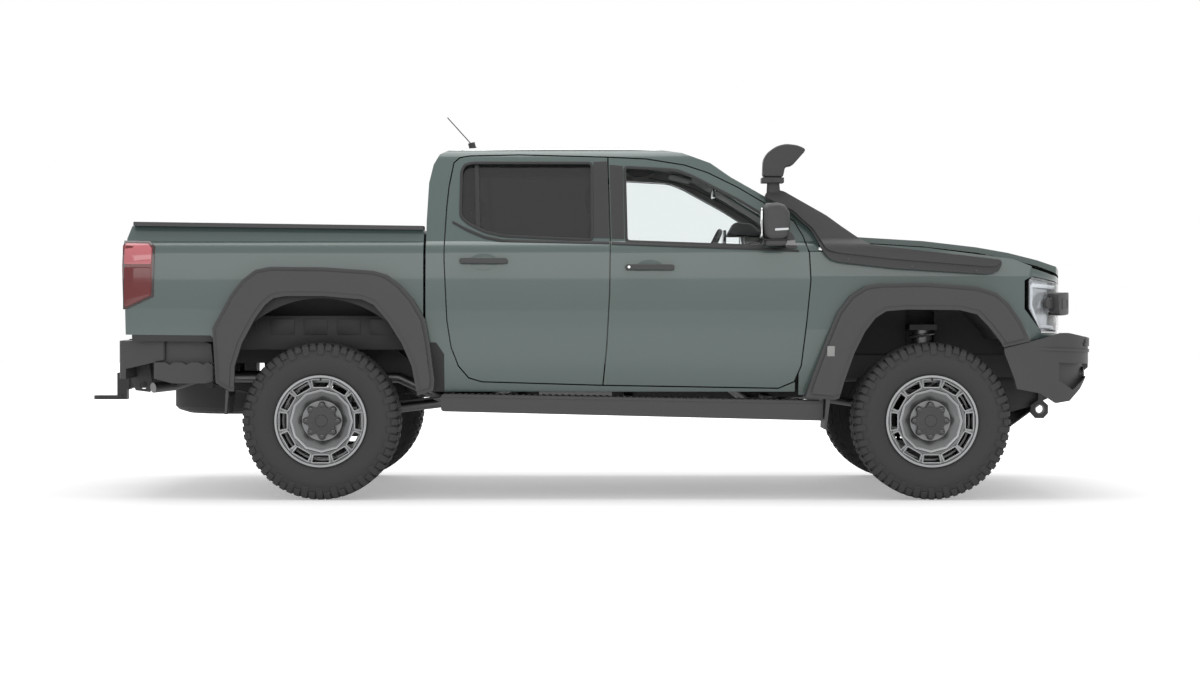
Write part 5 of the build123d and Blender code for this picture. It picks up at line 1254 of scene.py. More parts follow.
def build_headlamps():
    """Bezel, reflector, C-shaped guide, two projectors, the grille bar's end and a clear cover."""
    bezel = within_side(wrap_piece(NOSE, lamp_outline(0.001), -0.060, 0.052, rim=0.006), 0.006)
    pair(bezel, "lamp_bezel", "chassis", "gloss_black", "trim_plastic", bevel=0.0008, replaces="headlamps")
    back = within_side(wrap_piece(NOSE, lamp_outline(0.008), -0.075, 0.020), 0.050)
    pair(back, "lamp_reflector", "chassis", "lamp_silver", bevel=0.0008)
    inner, outer = NOSE.at_half(LAMP_INNER), NOSE.at_x(nose(3768))
    guide_line = [
        (inner + 0.03, 1.132), (outer - 0.03, 1.160), (outer - 0.018, 1.150), (outer - 0.018, 1.036),
        (NOSE.at_x(nose(3852)), 0.922), (inner + 0.03, 0.915), (inner + 0.03, 0.931),
        (NOSE.at_x(nose(3862)), 0.938), (outer - 0.034, 1.042), (outer - 0.034, 1.138), (inner + 0.03, 1.114)]
    guide = within_side(wrap_piece(NOSE, guide_line, -0.030, 0.014, columns=0.015), 0.018)
    pair(guide, "lamp_guide", "chassis", "lamp_white_and_painted_reflection", bevel=0.0015)
    for index, half in enumerate((0.715, 0.805)):
        x, y = NOSE.place(NOSE.at_half(half), -0.045)
        z = 1.050 - 0.006 * index
        cup = turned([(0.030, 0.0), (0.034, 0.012), (0.0385, 0.030), (0.041, 0.030), (0.0385, 0.0)],
            (0, 0, 0), axis="X", steps=32)
        ball = turned([(0.0005, 0.0), (0.031, 0.0), (0.0295, 0.010), (0.021, 0.019), (0.0105, 0.023),
            (0.0005, 0.0245)], (0, 0, 0), axis="X", steps=32)
        move = Matrix.Translation((x, y, z)) @ Matrix.Rotation(math.radians(-14 - 24 * index), 4, "Z")
        cup.data.transform(move)
        ball.data.transform(move)
        pair(cup, f"lamp_cup_{index}", "chassis", "chrome")
        pair(ball, f"lamp_ball_{index}", "chassis", "lamp_clear")
    stub = wrap_piece(NOSE, rounded([(NOSE.at_half(0.845), 1.020), (NOSE.at_half(0.905), 1.024),
        (NOSE.at_half(0.905), 1.076), (NOSE.at_half(0.845), 1.084)], 0.02, 4), 0.0, 0.030, columns=0.02)
    soften(stub, 0.010, 3, 40)
    block = wrap_piece(NOSE, rounded([(NOSE.at_half(0.748), 0.992), (NOSE.at_half(0.862), 0.985),
        (NOSE.at_half(0.868), 1.106), (NOSE.at_half(0.748), 1.112)], 0.02, 4), 0.002, 0.060, columns=0.02)
    soften(block, 0.014, 4, 40)
    inset = wrap_piece(NOSE, rounded([(NOSE.at_half(0.785), 1.022), (NOSE.at_half(0.840), 1.020),
        (NOSE.at_half(0.842), 1.078), (NOSE.at_half(0.785), 1.080)], 0.008, 3), 0.0600, 0.0045, rim=0.008)
    pair(joined([stub, block, inset]), "bar_end", "chassis", "trim_plastic", bevel=0.001)
    cover = within_side(wrap_piece(NOSE, lamp_outline(0.001), -0.0050, 0.0045, columns=0.02), 0.0005)
    pair(cover, "lamp_cover", "chassis", "lamp_clear", "lamp_clear", bevel=0.0008)


def build_nose_panels():
    """The body-coloured panels above and below the headlamp."""
    start, end = NOSE.at_half(0.648), NOSE.at_x(nose(3802))
    high = [(start, 1.186), (NOSE.at_x(nose(3932)), 1.206), (NOSE.at_x(nose(3870)), 1.226), (end, 1.244)]
    low = [(end, 1.2005), (NOSE.at_x(nose(3870)), 1.1865), (NOSE.at_x(nose(3932)), 1.1735), (start, 1.152)]
    strip = within_side(wrap_piece(NOSE, high + low, -0.030, 0.0285, columns=0.02), 0.001)
    pair(strip, "nose_strip", "chassis", "body_paint", bevel=0.003)
    chin = within_side(wrap_piece(NOSE, [(NOSE.at_half(0.40), 0.860), (NOSE.at_x(nose(3868)), 0.860),
        (NOSE.at_x(nose(3864)), 0.8955), (NOSE.at_half(0.40), 0.8900)], -0.045, 0.040, columns=0.02), 0.006)
    pair(chin, "nose_chin", "chassis", "body_paint", bevel=0.003)


def build_front():
    """Grille slats and bright lines, bumper trim, fog lenses, parking sensors and the skid plate's ribs."""
    slats = []
    for low, high in ((0.934, 0.997), (1.111, 1.155)):
        for index in range(13):
            along = 0.022 + index * 0.046
            slats.append(wrap_piece(NOSE, [(along, low), (along + 0.006, low), (along + 0.012, high),
                (along + 0.006, high)], -0.034, 0.020))
    pair(joined(slats), "grille_slats", "chassis", "trim_plastic", bevel=0.0008)
    lines = [wrap_piece(NOSE, rect(0.001, 0.60, z, z + 0.007), 0.0335, 0.003) for z in (1.016, 1.085)]
    pair(joined(lines), "grille_bright_lines", "chassis", "bright_alloy", bevel=0.0008)
    reach = BUMPER.at_x(nose(3700))
    top = wrap_piece(BUMPER, [(0.001, 0.838), (BUMPER.at_half(0.86), 0.838), (BUMPER.at_half(0.86), 0.826),
        (0.001, 0.826)], -0.001, 0.004)
    plate = wrap_piece(BUMPER, [(0.001, 0.700), (0.40, 0.700), (0.44, 0.640), (0.38, 0.606), (0.001, 0.606)],
        -0.001, 0.004)
    for vertex in plate.data.vertices:
        vertex.co.x -= (0.7165 - vertex.co.z) * 0.67
    pair(plate, "bumper_skid_trim", "chassis", "steel", bevel=0.0012)
    crease = wrap_piece(BUMPER, [(0.001, 0.804), (BUMPER.at_half(0.80), 0.804), (reach, 0.822),
        (reach, 0.806), (BUMPER.at_half(0.80), 0.788), (0.001, 0.788)], -0.0015, 0.0075, columns=0.02)
    for piece in (top, crease):
        for vertex in piece.data.vertices:
            vertex.co.x = min(vertex.co.x, nose(4174.5))
    pair(top, "bumper_top_line", "chassis", "gloss_black", bevel=0.001)
    pair(crease, "bumper_crease", "chassis", "trim_plastic", bevel=0.0035, segments=3)
    corner = wrap_piece(BUMPER, rounded([(BUMPER.at_half(0.50), 0.870), (BUMPER.at_half(0.84), 0.862),
        (BUMPER.at_half(0.86), 0.820), (BUMPER.at_half(0.50), 0.820)], 0.02, 3), -0.006, 0.012, columns=0.02)
    pair(corner, "bumper_corner", "chassis", "trim_plastic", bevel=0.005, segments=3)
    lens = turned([(0.0005, nose(4110)), (0.033, nose(4110)), (0.030, nose(4114)), (0.018, nose(4119)),
        (0.0005, nose(4120.5))], FOG_LAMP, axis="X", steps=32)
    pair(lens, "fog_lens", "chassis", "lamp_clear")
    fog_ring = turned([(0.0335, nose(4100)), (0.0415, nose(4104)), (0.0415, nose(4110)),
        (0.0335, nose(4114))], FOG_LAMP, axis="X", steps=32)
    pair(fog_ring, "fog_ring", "chassis", "gloss_black")
    for index, half in enumerate((0.20, 0.52)):
        x, y = BUMPER.place(BUMPER.at_half(half), 0.0)
        sensor = round_bar((x - 0.006, y, 0.735), (x - 0.0005, y, 0.735), 0.011)
        pair(sensor, f"park_sensor_{index}", "chassis", "gloss_black", bevel=0.001)
    shackle = turned([(0.021, -0.4145), (0.027, -0.4145), (0.030, -0.400), (0.027, -0.3855),
        (0.021, -0.3855)], (nose(3944), 0, 0.463), steps=32)
    pair(shackle, "hook_lining", "chassis", "steel")
    cheek = slab(at(nose, [(3700, 640), (4010, 640), (3996, 520), (3905, 478), (3740, 430)]), -0.372, -0.364)
    pair(cheek, "bumper_cheek", "chassis", "frame_black", bevel=0.002)
    ribs = row_of(slab(at(nose, rect(3100, 3480, 252.5, 255.9)), -0.29, -0.275), 9, (0, 0.0706, 0))
    settle(ribs, "skid_ribs", "chassis", "frame_black", bevel=0.001)
    holes = [turned(rect(0.012, 0.022, 0.2530, 0.2558), (nose(3180), y, 0), axis="Z", steps=20)
        for y in (-0.2, 0.2)]
    settle(joined(holes), "skid_bolts", "chassis", "steel")


# The windscreen's own slope, from its base to its top
SCREEN_BASE = Vector((bed(2640), 0, 1.482))
SCREEN_TOP = Vector((bed(2150), 0, 1.776))
SCREEN_OUT = Vector(((SCREEN_TOP - SCREEN_BASE).z, 0, -(SCREEN_TOP - SCREEN_BASE).x)).normalized()


def on_screen(share, y, lift):
    """A point at a share of the windscreen's slope, standing lift proud of it."""
    spot = SCREEN_BASE + (SCREEN_TOP - SCREEN_BASE) * share + SCREEN_OUT * lift
    return (spot.x, y, spot.z)


def build_top():
    """Screen surround, wipers, roof strips, the antenna's foot, washer jets and the engine's cover."""
    band = loop_of(rounded([(-0.745, 0.0), (0.745, 0.0), (0.600, 1.0), (-0.600, 1.0)], 0.05, 4), lambda y,
        share: on_screen(share * 0.94 + 0.035, y, 0.0005))
    with_hole(band, 0.020)
    push(band, SCREEN_OUT * 0.003)
    settle(band, "screen_band", "chassis", "gloss_black", bevel=0.0008)
    cowl = slab([(bed(2622), 1.4945), (bed(2650), 1.4800), (bed(2658), 1.4690), (bed(2640), 1.4700)], -0.70,
        0.70)
    settle(cowl, "cowl_strip", "chassis", "trim_plastic", bevel=0.002)
    for index, (pivot, tip_low, tip_high) in enumerate((
        ((-0.08, 0.30), (0.10, 0.55), (0.14, -0.02)), ((-0.08, -0.34), (0.09, -0.08), (0.13, -0.62)),
    )):
        mid_share, mid_y = (tip_low[0] + tip_high[0]) / 2, (tip_low[1] + tip_high[1]) / 2
        arm = bent_bar([on_screen(0.005, pivot[1], 0.004), on_screen(0.02, pivot[1], 0.024),
            on_screen(mid_share * 0.7, (pivot[1] + mid_y) / 2, 0.026), on_screen(mid_share, mid_y, 0.016)],
            0.0055)
        knob = round_bar(on_screen(0.005, pivot[1], -0.001), on_screen(0.005, pivot[1], 0.026), 0.013)
        blade = bent_bar([on_screen(*tip_low, 0.010), on_screen(mid_share, mid_y, 0.012),
            on_screen(*tip_high, 0.010)], 0.0060)
        rubber = bent_bar([on_screen(*tip_low, 0.004), on_screen(mid_share, mid_y, 0.004),
            on_screen(*tip_high, 0.004)], 0.0030)
        settle(joined([arm, knob, blade, rubber]), f"wiper_{index}", "chassis", "trim_plastic", bevel=0.0)
    rail_spots = [(690, 1.868), (760, 1.883), (1100, 1.8865), (1500, 1.8865), (1830, 1.8855), (1950, 1.868)]
    strip = bent_bar([(bed(x), -0.6505, z) for x, z in rail_spots], 0.0050)
    pair(strip, "roof_strip", "chassis", "seal_rubber")
    foot = turned([(0.0005, 1.9265), (0.027, 1.9265), (0.028, 1.934), (0.0215, 1.944), (0.0005, 1.948)],
        (bed(770), 0, 0), axis="Z", steps=32)
    settle(foot, "antenna_foot", "chassis", "snorkel_plastic")
    stop_lamp = slab([(bed(600), 1.8005), (bed(582), 1.8005), (bed(594), 1.822), (bed(606), 1.822)], -0.13,
        0.13)
    settle(stop_lamp, "stop_lamp", "chassis", "lamp_red", bevel=0.001)
    jets = [slab(at(nose, [(2830, 1410), (2834, 1417), (2852, 1416), (2858, 1409)]), y - 0.012, y + 0.012)
        for y in (-0.28, 0.28)]
    settle(joined(jets), "washer_jets", "hood_body", "trim_plastic", bevel=0.002)
    cover = slab(at(nose, [(3000, 1232), (3010, 1262), (3120, 1276), (3540, 1262), (3600, 1240),
        (3600, 1232)]), -0.24, 0.24)
    ridges = row_of(slab(at(nose, [(3060, 1262), (3120, 1279), (3540, 1266), (3560, 1250)]), -0.205, -0.175),
        5, (0, 0.095, 0))
    settle(joined([cover, ridges]), "engine_cover", "chassis", "cabin_plastic", bevel=0.006)


# Cargo bed and the rear


def build_bed():
    """Bed ribs, tie rings, tailgate trim, lamp segments with a pale band of painted reflection, dark inner
    panels partly made of sheets that stand in for shade, rear plate and hitch pin.
    """
    ribs = row_of(brick((bed(-1010), -0.545, 0.9855), (bed(498), -0.505, 0.9925)), 10, (0, 0.1166, 0))
    settle(ribs, "bed_floor_ribs", "chassis", "body_paint", bevel=0.003)
    wall = row_of(brick((bed(-960), -0.7598, 1.150), (bed(-900), -0.7545, 1.420)), 12, (0.118, 0, 0))
    pair(wall, "bed_wall_ribs", "chassis", "body_paint", bevel=0.002)
    board = row_of(brick((bed(498), -0.66, 1.03), (bed(503.2), -0.58, 1.41)), 9, (0, 0.155, 0))
    settle(board, "headboard_ribs", "chassis", "body_paint", bevel=0.002)
    for index, station in enumerate((-900, 430)):
        plate = brick((bed(station - 28), -0.7598, 1.125), (bed(station + 28), -0.752, 1.145))
        ring = bent_bar([(bed(station - 18), -0.752, 1.132), (bed(station - 20), -0.728, 1.112),
            (bed(station), -0.722, 1.100), (bed(station + 20), -0.728, 1.112),
            (bed(station + 18), -0.752, 1.132)], 0.0045)
        pair(joined([plate, ring]), f"tie_ring_{index}", "chassis", "steel")
    gate = "tailgate_body"
    face = bed(-1044)
    bezel = slab(rounded([(-0.135, 1.300), (0.135, 1.300), (0.125, 1.385), (-0.125, 1.385)], 0.02),
        face - 0.004, face + 0.002, axis="X")
    settle(bezel, "gate_bezel", gate, "trim_plastic", bevel=0.0015)
    paddle = slab(rounded([(-0.100, 1.318), (0.100, 1.318), (0.094, 1.362), (-0.094, 1.362)], 0.014),
        face - 0.011, face - 0.003, axis="X")
    settle(paddle, "gate_handle", gate, "gloss_black", bevel=0.003)
    panel = slab(rounded(rect(-0.60, 0.60, 1.02, 1.24), 0.05), face - 0.004, face + 0.001, axis="X")
    settle(panel, "gate_pressing", gate, "body_paint", bevel=0.003)
    lip = slab(at(bed, [(-1047, 1462), (-1030, 1474), (-992, 1474), (-988, 1465), (-1040, 1455)]), -0.745,
        0.745)
    settle(lip, "gate_lip", gate, "trim_plastic", bevel=0.003)
    inner = row_of(brick((bed(-990), -0.62, 1.00), (bed(-984), -0.50, 1.40)), 6, (0, 0.224, 0))
    settle(inner, "gate_inner_ribs", gate, "body_paint", bevel=0.002)
    upper = at(bed, [(-1050, 1374), (-928, 1372), (-905, 1348), (-907, 1262), (-1052, 1262)])
    pair(skin_piece(rounded(upper, 0.01), 0.0042, 0.0025), "tail_lamp_upper", "chassis", "lamp_rose",
        bevel=0.001)
    lower = at(bed, [(-1052, 1246), (-908, 1246), (-909, 1096), (-1034, 1037), (-1050, 1037)])
    pair(skin_piece(rounded(lower, 0.01), 0.0042, 0.0025), "tail_lamp_lower", "chassis", "lamp_red",
        bevel=0.001)
    frame_line = at(bed, [(-1056, 1389), (-920, 1387), (-889, 1356), (-895, 1088), (-1037, 1020),
        (-1056, 1020)])
    pair(skin_piece(frame_line, 0.0040, 0.0016, rim=0.009), "tail_lamp_frame", "chassis", "gloss_black")
    # Partly painted shade: the strip behind the rear wheel and the long sheet along the bed are dark sheets
    # set where there is only shade under the bed; the stamped pads follow the bed's real tub panel
    panel_and_shade_sheets = [skin_piece(at(bed, [(-1012, 893), (-575, 893), (-575, 846), (-1012, 849)]), -0.020, 0.016)]
    panel_and_shade_sheets.append(brick((bed(-985), -0.706, 0.800), (bed(545), -0.700, 0.984)))
    panel_and_shade_sheets.append(brick((bed(-380), -0.7085, 0.905), (bed(-376), -0.7055, 0.975)))
    for station in (-300, -120, 60, 240):
        panel_and_shade_sheets.append(slab(rounded(at(bed, [(station, 880), (station, 968), (station + 130, 968),
            (station + 130, 880)]), 0.012), -0.7105, -0.7055))
    pair(joined(panel_and_shade_sheets), "arch_panel_and_shade_sheet", "chassis", "frame_black", bevel=0.003)
    pads = row_of(slab([(bed(-1112), 0.850), (bed(-1110), 0.8555), (bed(-1100), 0.8555), (bed(-1098), 0.850)],
        -0.50, -0.10), 2, (0.011, 0, 0))
    pair(pads, "bumper_pads", "chassis", "trim_plastic", bevel=0.0015)
    valance = slab(rounded(rect(-0.835, 0.835, 0.846, 0.904), 0.02), bed(-1000), bed(-994), axis="X")
    settle(valance, "rear_valance", "chassis", "frame_black", bevel=0.001)
    plate = slab(rounded(rect(-0.26, 0.26, 0.700, 0.812), 0.01), bed(-1126.5), bed(-1122), axis="X")
    settle(plate, "rear_plate", "chassis", "plate_blank", bevel=0.001)
    # The middle band is pale lens colour painted across the tail lamp as a reflection; the top band is the
    # lamp's rose lens
    for name, low, high, material in (("top", 1.300, 1.366, "lamp_rose"),
                                      ("middle", 1.222, 1.284, "lamp_white_and_painted_reflection")):
        band = slab(rounded([(-0.922, low), (-0.792, low), (-0.792, high), (-0.918, high)], 0.012),
            bed(-1064.5), bed(-1056), axis="X")
        pair(band, f"tail_lamp_{name}_band", "chassis", material, bevel=0.0015)
    reflector = brick((bed(-1125.5), -0.60, 0.770), (bed(-1122), -0.52, 0.795))
    pair(reflector, "rear_reflector", "chassis", "lamp_red", bevel=0.001)
    pin = round_bar((bed(-1155), -0.044, 0.605), (bed(-1155), 0.044, 0.605), 0.008)
    knob = round_bar((bed(-1155), -0.060, 0.605), (bed(-1155), -0.040, 0.605), 0.013)
    settle(joined([pin, knob]), "hitch_pin", "chassis", "steel", bevel=0.0015)
    collar = slab(rounded(rect(-0.046, 0.046, 0.560, 0.650), 0.012), bed(-1214), bed(-1196), axis="X")
    settle(collar, "receiver_collar", "chassis", "frame_black", bevel=0.002)


def build_sides():
    """Step treads and edges, the marker plates and the mudflaps' clamps."""
    pitch = 0.034
    count = int((bed(2620) - bed(700)) / pitch)
    tread = slab([(0.0, -0.960), (0.016, -0.960), (0.024, -0.815), (0.008, -0.815)], 0.0, 0.006, axis="Z")
    made = []
    for index in range(count):
        station = 700 + index * pitch * 1000
        height = (567 - (station - 644) / 2043 * 37) / 1000
        made.append(copy_of(tread, Matrix.Translation((bed(station), 0, height - 0.0015))))
    bpy.data.objects.remove(tread)
    pair(joined(made), "step_treads", "chassis", "seal_rubber", bevel=0.0012)
    edge = slab(at(bed, [(652, 563), (2680, 527), (2680, 514), (652, 550)]), -0.9675, -0.9645)
    pair(edge, "step_edge", "chassis", "trim_plastic", bevel=0.001)
    plate = slab(at(nose, [(2704, 770), (2706, 824), (2746, 824), (2744, 770)]), -1.0155, -1.0125)
    pair(plate, "marker_plate", "chassis", "plate_blank", bevel=0.001)
    clamps = []
    for x, z in at(bed, [(-494, 560)]) + at(nose, [(2711, 514)]):
        clamps.append(brick((x - 0.010, -1.0, z - 0.010), (x + 0.010, -0.77, z + 0.010)))
    pair(joined(clamps), "flap_clamps", "chassis", "frame_black", bevel=0.002)


def coil_spring(x, y, z_low, z_high, radius, wire, turns):
    """A round wire wound up an upright axis."""
    obj = loop_of([(wire * math.cos(a), wire * math.sin(a)) for a in (math.tau * i / 10 for i in range(10))],
        lambda a, b: (radius + a, 0, b), fill=False)
    rise = (z_high - z_low - 2 * wire) / turns
    add_modifier(obj, "SCREW", axis="Z", angle=math.tau, screw_offset=rise, iterations=turns, steps=28,
        render_steps=28, use_merge_vertices=True)
    only(obj)
    bpy.ops.object.mode_set(mode="EDIT")
    bpy.ops.mesh.select_all(action="SELECT")
    bpy.ops.mesh.remove_doubles(threshold=MERGE_GAP)
    bpy.ops.mesh.select_all(action="DESELECT")
    bpy.ops.mesh.select_non_manifold()
    bpy.ops.mesh.edge_face_add()
    bpy.ops.object.mode_set(mode="OBJECT")
    obj.data.transform(Matrix.Translation((x, y, z_low + wire)))
    return obj


def build_underbody():
    """Springs and their seats, axle clamps, boots, calipers and disc hats that show through the arches."""
    spring = coil_spring(XF, -0.545, 0.500, 0.900, 0.068, 0.0085, 7)
    pair(spring, "coil_spring", "chassis", "steel")
    seat = turned(rect(0.053, 0.082, 0.492, 0.500), (XF, -0.545, 0), axis="Z", steps=40)
    pair(seat, "spring_seat", "chassis", "frame_black")
    bolts = []
    for along in (-0.048, 0.048):
        bolts.append(bent_bar([(XR + along, -0.515, 0.350), (XR + along, -0.513, 0.530),
            (XR + along, -0.530, 0.550), (XR + along, -0.590, 0.550), (XR + along, -0.607, 0.530),
            (XR + along, -0.605, 0.350)], 0.006))
    foot = brick((XR - 0.070, -0.625, 0.352), (XR + 0.070, -0.495, 0.366))
    pair(joined(bolts + [foot]), "axle_clamp", "chassis", "frame_black", bevel=0.0)
    boot_end = -0.285
    section = [(0.020, boot_end)]
    for index in range(5):
        fat, out = 0.046 - index * 0.005, index * 0.018
        section += [(fat, boot_end - (0.004 + out)), (fat - 0.010, boot_end - (0.013 + out))]
    section.append((0.019, boot_end - 0.098))
    pair(turned(section, (XF, 0, AXLE_Z), steps=36), "inner_boot", "chassis", "seal_rubber")
    caliper = slab([(XR + 0.115, AXLE_Z - 0.075), (XR + 0.185, AXLE_Z - 0.055), (XR + 0.192, AXLE_Z),
        (XR + 0.185, AXLE_Z + 0.055), (XR + 0.115, AXLE_Z + 0.075)], -0.848, -0.790)
    front = copy_of(caliper, Matrix.Translation((XF - XR, 0, 0)))
    pair(caliper, "rear_caliper", "chassis", "iron", bevel=0.008)
    pair(front, "front_caliper", "upright_{}", "iron", bevel=0.008)
    hats = [turned([(0.031, -0.8305), (0.085, -0.8305), (0.085, -0.846), (0.078, -0.850), (0.031, -0.850)],
        (x, 0, AXLE_Z), steps=40) for x in (XR, XF)]
    pair(hats[0], "rear_disc_hat", "chassis", "iron")
    pair(hats[1], "front_disc_hat", "upright_{}", "iron")


# The cabin

# Size of the grid that a pad is made of, and frames that its pressure works for
PAD_GRID = 0.018
SWELL_FRAMES = 20
# Points of a seat belt that lie more than 20 mm ahead of its anchor move forward by this much
BELT_SHIFT = 0.018


def swell(obj, sizes):
    """Inflates a closed soft shape a little, then smooths it."""
    add_modifier(obj, "REMESH", mode="VOXEL", voxel_size=PAD_GRID, use_smooth_shade=True)
    only(obj)
    start = [vertex.co.copy() for vertex in obj.data.vertices]
    cloth = obj.modifiers.new("Cloth", "CLOTH")
    cloth.settings.quality = 4
    cloth.settings.mass = 0.3
    cloth.settings.tension_stiffness = 15
    cloth.settings.compression_stiffness = 15
    cloth.settings.bending_stiffness = 1.5
    cloth.settings.use_pressure = True
    cloth.settings.uniform_pressure_force = 4.0
    cloth.settings.effector_weights.gravity = 0.0
    cloth.point_cache.frame_start, cloth.point_cache.frame_end = 1, SWELL_FRAMES
    for number in range(1, SWELL_FRAMES + 1):
        bpy.context.scene.frame_set(number)
        bpy.context.view_layer.update()
    bpy.ops.object.modifier_apply(modifier=cloth.name)
    bpy.context.scene.frame_set(1)
    for vertex, was in zip(obj.data.vertices, start):
        way = vertex.co - was
        if way.length > sizes.seat_swell:
            vertex.co = was + way.normalized() * sizes.seat_swell
    add_modifier(obj, "SUBSURF", levels=1, render_levels=1)
    return obj


def soft(outline, low, high, sizes, name):
    """A padded part: an outline in side view, pushed across, rounded and swollen."""
    obj = slab(outline, low, high)
    soften(obj, 0.022, 3, 30)
    face_out(obj)
    swell(obj, sizes)
    settle(obj, name, "chassis", "cloth", "cloth", smooth=60.0)
    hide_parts("seats")
    return obj


def build_seats(sizes):
    """Front seats, rear bench and head rests as padded pieces, with their rails, buckles and stays."""
    parts = (
        ("cushion", [(1580, 925), (1578, 1015), (1640, 1026), (1900, 1062), (2004, 1062), (2040, 1010),
        (2036, 970), (1990, 920)]), ("back", [(1580, 1006), (1540, 1130), (1428, 1470), (1440, 1520),
        (1478, 1540), (1534, 1504), (1570, 1400), (1672, 1058)]),)
    for side, low, high in (("right", -0.600, -0.130), ("left", 0.130, 0.600)):
        for part, line in parts:
            soft(at(bed, line), low, high, sizes, f"front_{part}_{side}")
        middle_y = (low + high) / 2
        soft(at(bed, [(1416, 1580), (1412, 1690), (1440, 1714), (1480, 1714), (1506, 1690), (1506, 1600),
            (1480, 1576)]), middle_y - 0.110, middle_y + 0.110, sizes, f"front_rest_{side}")
        metal = [round_bar((bed(1462), middle_y + gap, 1.500), (bed(1462), middle_y + gap, 1.600), 0.0065)
            for gap in (-0.055, 0.055)]
        for y in (-0.554, -0.226) if low < 0 else (0.226, 0.554):
            metal.append(brick((bed(1640), y - 0.022, 0.731), (bed(2036), y + 0.022, 0.765)))
            metal.append(brick((bed(1680), y - 0.010, 0.763), (bed(1990), y + 0.010, 0.945)))
        rig = joined(metal)
        settle(rig, f"seat_rails_{side}", "chassis", "frame_black", bevel=0.002)
        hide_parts("seats")
        buckle = slab(rounded(at(bed, [(1618, 1000), (1606, 1080), (1630, 1086), (1650, 1004)]), 0.008),
            (high if low < 0 else low) - 0.012, (high if low < 0 else low) + 0.012)
        settle(buckle, f"buckle_{side}", "chassis", "cabin_plastic", bevel=0.004)
    bench = (
        ("cushion", [(868, 980), (870, 1084), (960, 1098), (1280, 1122), (1320, 1060), (1296, 980)]),
        ("back", [(868, 1068), (768, 1440), (756, 1520), (790, 1544), (850, 1400), (940, 1100)]),
    )
    for index, (low, high) in enumerate(((-0.640, -0.225), (-0.205, 0.205), (0.225, 0.640))):
        for part, line in bench:
            soft(at(bed, line), low, high, sizes, f"bench_{part}_{index}")
        rest = (low + high) / 2
        soft(at(bed, [(756, 1566), (752, 1640), (776, 1660), (806, 1660), (826, 1630), (826, 1580),
            (800, 1560)]), rest - 0.095, rest + 0.095, sizes, f"bench_rest_{index}")
    base = brick((bed(862), -0.636, 0.731), (bed(1256), 0.636, 0.972))
    settle(base, "bench_base", "chassis", "cabin_plastic", "cabin_plastic", bevel=0.008)
    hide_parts("seats")
    stays = [round_bar((bed(788), y, 1.530), (bed(788), y, 1.580), 0.006)
        for middle_y in (-0.4325, 0, 0.4325) for y in (middle_y - 0.045, middle_y + 0.045)]
    rig = joined(stays)
    settle(rig, "bench_stays", "chassis", "steel")
    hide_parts("seats")


WHEEL_SEAT = Vector((bed(2090), -0.380, 1.290))
WHEEL_AXIS = Vector((bed(2090) - bed(2260), 0, 1.290 - 1.215)).normalized()


